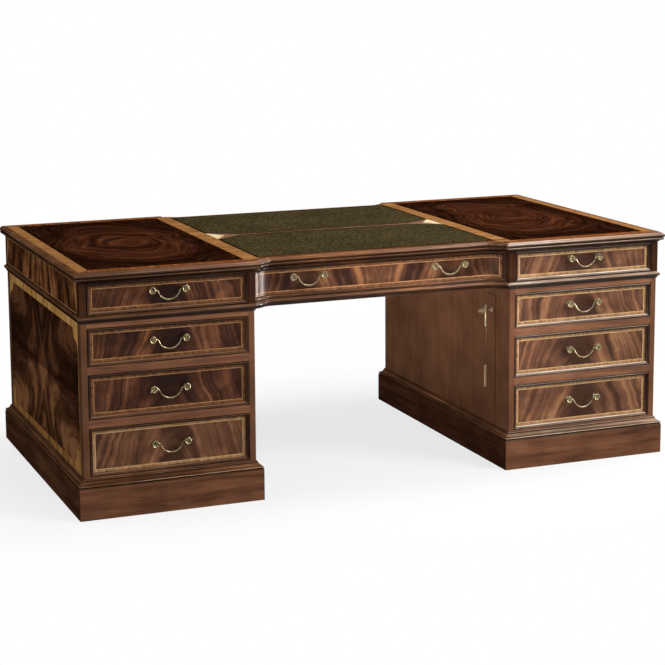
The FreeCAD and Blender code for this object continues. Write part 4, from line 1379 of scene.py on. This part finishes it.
    def rear_panel(self, low: Vector, high: Vector) -> None:
        """Lay one tall veneered panel on the fixed rear.

        Args:
            low: Lowest corner of the carcass.
            high: Highest corner of the carcass.
        """
        word = self.side.word
        foot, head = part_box(f"{word}_end_panel")[0].z, high.z - self.rear_gap
        width = high.x - low.x - 2 * self.stile
        leaf = self.rear_leaf + self.side.value
        mesh = VeneeredPanel(width, head - foot, self.rear_root, leaf, True).build()
        mesh.transform(Facing.REAR.stand(((low.x + high.x) / 2, high.y, (foot + head) / 2)))
        add_piece(f"{word}_rear_panel", mesh, BANDED, "desk")


@dataclass
class Handle:
    """Swan-neck bail on two turned posts, each with a ringed rosette."""

    body: str
    middle: Vector
    span: float = 0.109
    reach: float = 0.018
    wire: float = 0.0021
    drop: float = 0.031
    neck: float = 0.006
    shoulder: float = 0.0128
    pin_end: float = 0.0093
    swell: float = 0.35
    dish: float = 0.0058
    dish_floor: float = 0.0185
    wire_sides: int = 14
    neck_steps: int = 8
    loop_steps: int = 26
    turned_sides: int = 28

    def bail(self) -> None:
        """Bend the bail from round wire that swells towards its middle."""
        mesh = bmesh.new()
        shoulder = self.span / 2 - self.shoulder
        pin = self.shoulder + self.pin_end
        swing = 2 * math.atan(self.drop / shoulder)
        loop = (shoulder ** 2 + self.drop ** 2) / (2 * self.drop) - self.neck
        start = Matrix.Translation((-shoulder - pin, 0.0, 0.0)) @ Matrix.Rotation(math.pi / 2, 4, "Y")
        bmesh.ops.create_circle(mesh, segments=self.wire_sides, radius=self.wire, matrix=start)
        ends = self.run_out(mesh, mesh.verts[:] + mesh.edges[:], pin)
        stretches = ((-shoulder, -self.neck, swing, self.neck_steps),
                     (0.0, loop - self.drop, -2 * swing, self.loop_steps),
                     (shoulder, -self.neck, swing, self.neck_steps))
        for x, z, angle, steps in stretches:
            ends = bmesh.ops.spin(mesh, geom=ends, cent=(x, 0.0, z), axis=(0.0, 1.0, 0.0), angle=angle,
                                  steps=steps, use_merge=False, use_duplicate=False)["geom_last"]
        self.run_out(mesh, ends, pin)
        self.fatten(mesh, loop)
        bmesh.ops.holes_fill(mesh, edges=mesh.edges[:], sides=0)
        bmesh.ops.recalc_face_normals(mesh, faces=mesh.faces[:])
        pivot = self.middle - Vector((0.0, self.reach, 0.0))
        bmesh.ops.translate(mesh, verts=mesh.verts[:], vec=pivot)
        add_piece(f"{self.body}_brass", mesh, [BRASS], self.body, [self.body], ROUNDED)

    def run_out(self, mesh: Mesh, ends: list, length: float) -> list:
        """Draw the wire's open end straight out along X.

        Args:
            mesh: The wire.
            ends: Vertices and edges of its open end.
            length: How far it goes.

        Returns:
            Vertices and edges of the new open end.
        """
        edges = [part for part in ends if isinstance(part, bmesh.types.BMEdge)]
        drawn = bmesh.ops.extrude_edge_only(mesh, edges=edges)["geom"]
        verts = [part for part in drawn if isinstance(part, bmesh.types.BMVert)]
        bmesh.ops.translate(mesh, verts=verts, vec=(length, 0.0, 0.0))
        rim = set(verts)
        return verts + [edge for edge in mesh.edges if set(edge.verts) <= rim]

    def fatten(self, mesh: Mesh, loop: float) -> None:
        """Swell the wire of the loop towards its lowest point.

        Args:
            mesh: The wire, with its pivot line on the X axis.
            loop: Radius of the loop.
        """
        centre = Vector((0.0, 0.0, loop - self.drop))
        for vertex in mesh.verts:
            arm = Vector((vertex.co.x, 0.0, vertex.co.z)) - centre
            if vertex.co.z < -self.neck:
                line = centre + arm.normalized() * loop
                share = max(0.0, -arm.normalized().z) ** 3
                vertex.co = line + (vertex.co - line) * (1 + self.swell * share)

    def posts(self, mesh: Mesh) -> None:
        """Turn the two posts with their rosettes into a mesh, the middle of each rosette's dish darker.

        Args:
            mesh: Mesh of the drawer's posts.
        """
        foot = [(0.0075, 0.0), (0.0075, 0.0012), (0.0069, 0.002), (0.0052, 0.0027), (0.0042, 0.0042)]
        head = [(0.004, 0.0115), (0.0046, 0.0129), (0.0064, 0.0134), (0.0098, 0.0136), (0.0114, 0.0142)]
        rim = [(0.0121, 0.0156), (0.0123, 0.018), (0.0121, 0.02), (0.0115, 0.0215), (0.0105, 0.0223),
               (0.0096, 0.0223), (0.0089, 0.0216)]
        dish = [(0.0083, 0.0204), (0.0072, 0.0198), (0.0062, 0.0199), (0.0053, 0.0207), (0.0042, 0.0211),
                (0.0032, 0.0207), (0.0024, 0.0194), (0.0, 0.0188)]
        for sign in SIGNS:
            base = self.middle + Vector((sign * self.span / 2, 0.0, 0.0))
            line = [mesh.verts.new(base + Vector((x, -y, 0.0))) for x, y in foot + head + rim + dish]
            edges = [mesh.edges.new(pair) for pair in zip(line, line[1:])]
            bmesh.ops.spin(mesh, geom=line + edges, cent=base, axis=(0.0, 1.0, 0.0), angle=math.tau,
                           steps=self.turned_sides, use_merge=True, use_duplicate=False)
            for face in mesh.faces:
                arm = face.calc_center_median() - base
                if -arm.y > self.dish_floor and math.hypot(arm.x, arm.z) < self.dish:
                    face.material_index = 1


@dataclass
class Drawer:
    """Drawer: moulded front with a banded crotch panel, box and handles."""

    name: str
    leaf: float
    veneers: Sequence[Finish] = BANDED
    moulding: Finish = SHEEN_LIP
    lip: float = 0.009
    sunk: float = 0.012
    slack: float = 0.0014
    reach: float = 0.018
    front_ease: float = 0.0009
    box_ease: float = 0.0008

    def build(self) -> None:
        """Build the drawer's pieces."""
        low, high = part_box(f"{self.name}_front")
        self.front(low, high)
        self.panel(low, high)
        self.box()
        self.handles()

    def front(self, low: Vector, high: Vector) -> None:
        """Dress the moulded front, its lip with grain along each side.

        Args:
            low: Lowest corner of the front.
            high: Highest corner of the front.
        """
        node = f"{self.name}_front"
        middle = (low.x + high.x) / 2
        field = (high.x - low.x) / 2 - self.lip
        mesh = cad_copy(node, self.front_ease)
        trim(mesh, low, high, (self.slack, 0.0, self.slack))
        set_grain(mesh, lambda spot, normal: Axis.Z if abs(spot.x - middle) > field else Axis.X)
        # The top and bottom lips take a moulding with painted tilt shade or a painted sheen, and the side
        # lips darker painted shade.
        finishes = [self.moulding, *MOULDED[1:]]
        add_piece(f"{self.name}_lip", mesh, finishes, self.name, [node])

    def panel(self, low: Vector, high: Vector) -> None:
        """Lay the veneers on the field inside the lip.

        Args:
            low: Lowest corner of the front.
            high: Highest corner of the front.
        """
        height = high.z - low.z - 2 * self.lip
        mesh = VeneeredPanel(high.x - low.x - 2 * self.lip, height, (0.0, -height / 2), self.leaf).build()
        mesh.transform(Facing.FRONT.stand(((low.x + high.x) / 2, low.y + self.sunk, (low.z + high.z) / 2)))
        add_piece(f"{self.name}_panel", mesh, self.veneers, self.name)

    def box(self) -> None:
        """Dress the drawer box in waxed oak, its sides' grain running back."""
        node = f"{self.name}_box"
        mesh = cad_copy(node, self.box_ease)
        set_grain(mesh, lambda spot, normal: Axis.Y if abs(normal.x) > LOOKS_ALONG else Axis.X)
        add_piece(f"{self.name}_oak", mesh, LINING, self.name, [node])

    def bails(self) -> list[str]:
        """Name the bodies of the drawer's bails."""
        return [f"{self.name}_bail"]

    def handles(self) -> None:
        """Set the posts and the bails on the field."""
        posts = bmesh.new()
        for body in self.bails():
            joint = next(joint for joint in frame["joints"] if joint["child"] == body)
            pivot = Vector(joint["pos_m"])
            handle = Handle(body, pivot + Vector((0.0, self.reach, 0.0)), reach=self.reach)
            handle.bail()
            handle.posts(posts)
        bmesh.ops.remove_doubles(posts, verts=posts.verts[:], dist=WELD)
        bmesh.ops.holes_fill(posts, edges=posts.edges[:], sides=0)
        bmesh.ops.recalc_face_normals(posts, faces=posts.faces[:])
        node = f"{self.name}_posts"
        add_piece(f"{self.name}_rosettes", posts, [BRASS, DARK_BRASS], self.name, [node], ROUNDED)


@dataclass
class CentreDrawer(Drawer):
    """Long centre drawer, whose front follows the frieze's set-back middle."""

    slack: float = 0.0008
    plan: CentrePlan = CentrePlan()
    flame: float = 0.254

    def bails(self) -> list[str]:
        """Name the bodies of the drawer's two bails."""
        return [f"{self.name}_{side.word}_bail" for side in Side]

    def panel(self, low: Vector, high: Vector) -> None:
        """Wrap two matched leaves and their bands round the sunken field.

        Args:
            low: Lowest corner of the front.
            high: Highest corner of the front.
        """
        height = high.z - low.z - 2 * self.lip
        half = self.plan.half_run(-self.sunk, high.x - self.lip)
        mesh = VeneeredPanel(2 * half, height, (self.flame, -height / 2), self.leaf, True).build()
        self.plan.bend(mesh, -self.sunk, (low.z + high.z) / 2)
        add_piece(f"{self.name}_panel", mesh, self.veneers, self.name)


@dataclass
class LockingFlap:
    """Locking flap beside the kneehole: its board, hinges, lock and key."""

    slack: float = 0.0008
    ease: float = 0.0024
    flat: float = 0.99

    def build(self) -> None:
        """Dress the flap's pieces, its board's eased edges dark with painted shade along the seam."""
        low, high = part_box("locking_flap")
        board = cad_copy("locking_flap", self.ease)
        trim(board, low, high, (0.0, self.slack, self.slack))
        # Painted shade on the eased edges darkens the seam round the flap.
        for face in board.faces:
            face.material_index = 0 if abs(face.normal.x) > self.flat else 1
        finishes = [MAHOGANY[Axis.Z], MOULDED[Axis.Z]]
        add_piece("flap_board", board, finishes, "flap", ["locking_flap"])
        for node, body in (("flap_hinge_frame_leaves", "desk"), ("flap_hinge_flap_leaves", "flap"),
                           ("flap_lock", "flap"), ("flap_key", "key")):
            add_piece(f"{node}_brass", cad_copy(node), [BRIGHT_BRASS], body, [node])


@dataclass(frozen=True)
class Lamp:
    """Lamp of the studio: where it hangs and points, its width and height, its watts and its grid's angle."""

    name: str
    place: Point
    target: Point
    size: Pair
    power: float
    spread: float = 180.0
    gloss_only: bool = False

    def hang(self) -> None:
        """Hang the lamp with its face to its target, seen by polish and metal alone if it is a gloss card."""
        data = bpy.data.lights.new(self.name, "AREA")
        data.shape = "RECTANGLE"
        data.size, data.size_y = self.size
        data.energy = self.power
        data.spread = math.radians(self.spread)
        lamp = bpy.data.objects.new(self.name, data)
        away = Vector(self.place) - Vector(self.target)
        turn = away.to_track_quat("Z", "Y").to_matrix().to_4x4()
        lamp.matrix_world = Matrix.Translation(self.place) @ turn
        lamp.visible_diffuse = not self.gloss_only
        bpy.context.scene.collection.objects.link(lamp)


# Soft light from the front right, and weaker fills for the other sides and the kneehole.
LAMPS = (
    Lamp("key_strip", (3.9, -2.9, 1.45), (0.4, -0.4, 0.45), (1.2, 2.4), 52.0),
    Lamp("key_softbox", (2.6, -2.8, 3.4), (0.6, -0.4, 0.5), (1.4, 1.0), 125.0),
    Lamp("left_end_fill", (-4.4, -1.2, 1.5), (-1.0, 0.0, 0.4), (1.4, 1.4), 14.5),
    Lamp("rear_fill", (0.0, 5.0, 1.6), (0.0, 0.5, 0.4), (2.0, 2.0), 26.0),
    Lamp("front_fill", (-1.6, -5.6, 1.5), (-0.5, -0.5, 0.4), (1.6, 1.6), 33.0),
    Lamp("right_overhead", (2.1, 0.1, 3.6), (0.5, 0.0, 0.6), (1.2, 1.6), 60.0),
    Lamp("left_overhead", (-0.7, 0.2, 3.8), (-0.5, 0.0, 0.7), (2.0, 2.0), 30.0),
    Lamp("right_gloss_card", (2.35, -2.0, 3.6), (2.35, -2.0, 0.0), (1.7, 4.0), 300.0, gloss_only=True),
    Lamp("left_gloss_card", (0.3, -2.0, 3.6), (0.3, -2.0, 0.0), (0.6, 3.0), 60.0, gloss_only=True),
    Lamp("curve_gloss_card", (2.4, -1.4, 0.55), (-0.6, -0.44, 0.65), (0.5, 1.1), 12.0, 28.0, True),
    Lamp("kneehole_grid", (-2.2, -4.0, 0.8), (0.46, 0.05, 0.5), (0.3, 0.3), 1.35, 14.0),
)


@dataclass
class Studio:
    """Plain white studio: floor, soft lamps, and a camera at the photograph's viewing angle."""

    position: Point = (-2.3939, -6.0662, 1.7795)
    azimuth: float = 21.74
    elevation: float = 9.00
    roll: float = -0.34
    sensor: float = 36.0
    focal_pixels: float = 1862.4
    axis_row: float = 240.0
    ambient: float = 0.2
    floor_size: float = 14.0

    def build(self) -> None:
        """Build the floor, the world, the lamps and the camera."""
        self.floor()
        self.world()
        for lamp in LAMPS:
            lamp.hang()
        self.camera()
        bpy.context.scene.view_settings.view_transform = "Standard"

    def floor(self) -> None:
        """Lay the floor just under the plinths."""
        mesh = bmesh.new()
        bmesh.ops.create_grid(mesh, x_segments=2, y_segments=2, size=self.floor_size)
        data = bpy.data.meshes.new("studio_floor")
        mesh.to_mesh(data)
        mesh.free()
        data.materials.append(StudioFloor("white_studio_floor").material())
        floor = bpy.data.objects.new("studio_floor", data)
        bpy.context.scene.collection.objects.link(floor)

    def world(self) -> None:
        """Give the world an even light, and plain white where it shows."""
        world = bpy.data.worlds.new("studio_world")
        world.use_nodes = True
        tree = world.node_tree
        tree.nodes.clear()
        light = add_node(tree, "Background", {"Color": linear(WHITE), "Strength": self.ambient})
        white = add_node(tree, "Background", {"Color": linear(WHITE), "Strength": 1.0})
        mixed = add_node(tree, "MixShader", (seen_rays(tree), light, white))
        add_node(tree, "OutputWorld", {"Surface": mixed})
        bpy.context.scene.world = world

    def camera(self) -> None:
        """Set up the camera from the photograph's place, direction, focal length and optical axis."""
        data = bpy.data.cameras.new("photo_camera")
        data.sensor_width = self.sensor
        data.lens = self.sensor * self.focal_pixels / PHOTO_PIXELS
        data.shift_y = (self.axis_row - PHOTO_PIXELS / 2) / PHOTO_PIXELS
        turn, tilt, roll = (math.radians(angle) for angle in (self.azimuth, self.elevation, self.roll))
        ahead = Vector((math.sin(turn) * math.cos(tilt), math.cos(turn) * math.cos(tilt), -math.sin(tilt)))
        level = Vector((math.cos(turn), -math.sin(turn), 0.0))
        upright = level.cross(ahead)
        right = math.cos(roll) * level + math.sin(roll) * upright
        up = math.cos(roll) * upright - math.sin(roll) * level
        turned = Matrix((right, up, -ahead)).transposed().to_4x4()
        camera = bpy.data.objects.new("photo_camera", data)
        camera.matrix_world = Matrix.Translation(self.position) @ turned
        bpy.context.scene.collection.objects.link(camera)
        bpy.context.scene.camera = camera


# Numbers of the drawers' leaves of veneer, which make each drawer's figure its own.
FIRST_LEAF = {Side.LEFT: 30.0, Side.RIGHT: 50.0}
LEAF_STEP = 2.0
CENTRE_LEAF = 60.0


def main() -> None:
    """Build the desk's looks and the studio."""
    logging.basicConfig(level=logging.INFO, format="%(message)s")
    plan = CentrePlan()
    DeskTop(plan).build()
    Frieze(plan).build()
    for side in Side:
        Pedestal(side).build()
        for index, row in enumerate(("frieze", "upper", "middle", "lower")):
            # The left pedestal's upper drawers take veneers with painted shade, and the right pedestal's lips
            # a painted sheen.
            shaded = side is Side.LEFT and row != "lower"
            veneers = SHADED_BANDED if shaded else BANDED
            moulding = MOULDED[Axis.X] if side is Side.LEFT else SHEEN_LIP
            leaf = FIRST_LEAF[side] + LEAF_STEP * index
            Drawer(f"{side.word}_{row}_drawer", leaf, veneers, moulding).build()
    # The set-back centre drawer takes veneers and a lip with painted shade.
    CentreDrawer("centre_drawer", CENTRE_LEAF, CENTRE_BANDED, CENTRE_MOULDING, plan=plan).build()
    LockingFlap().build()
    Studio().build()


if __name__ == "__main__":
    main()
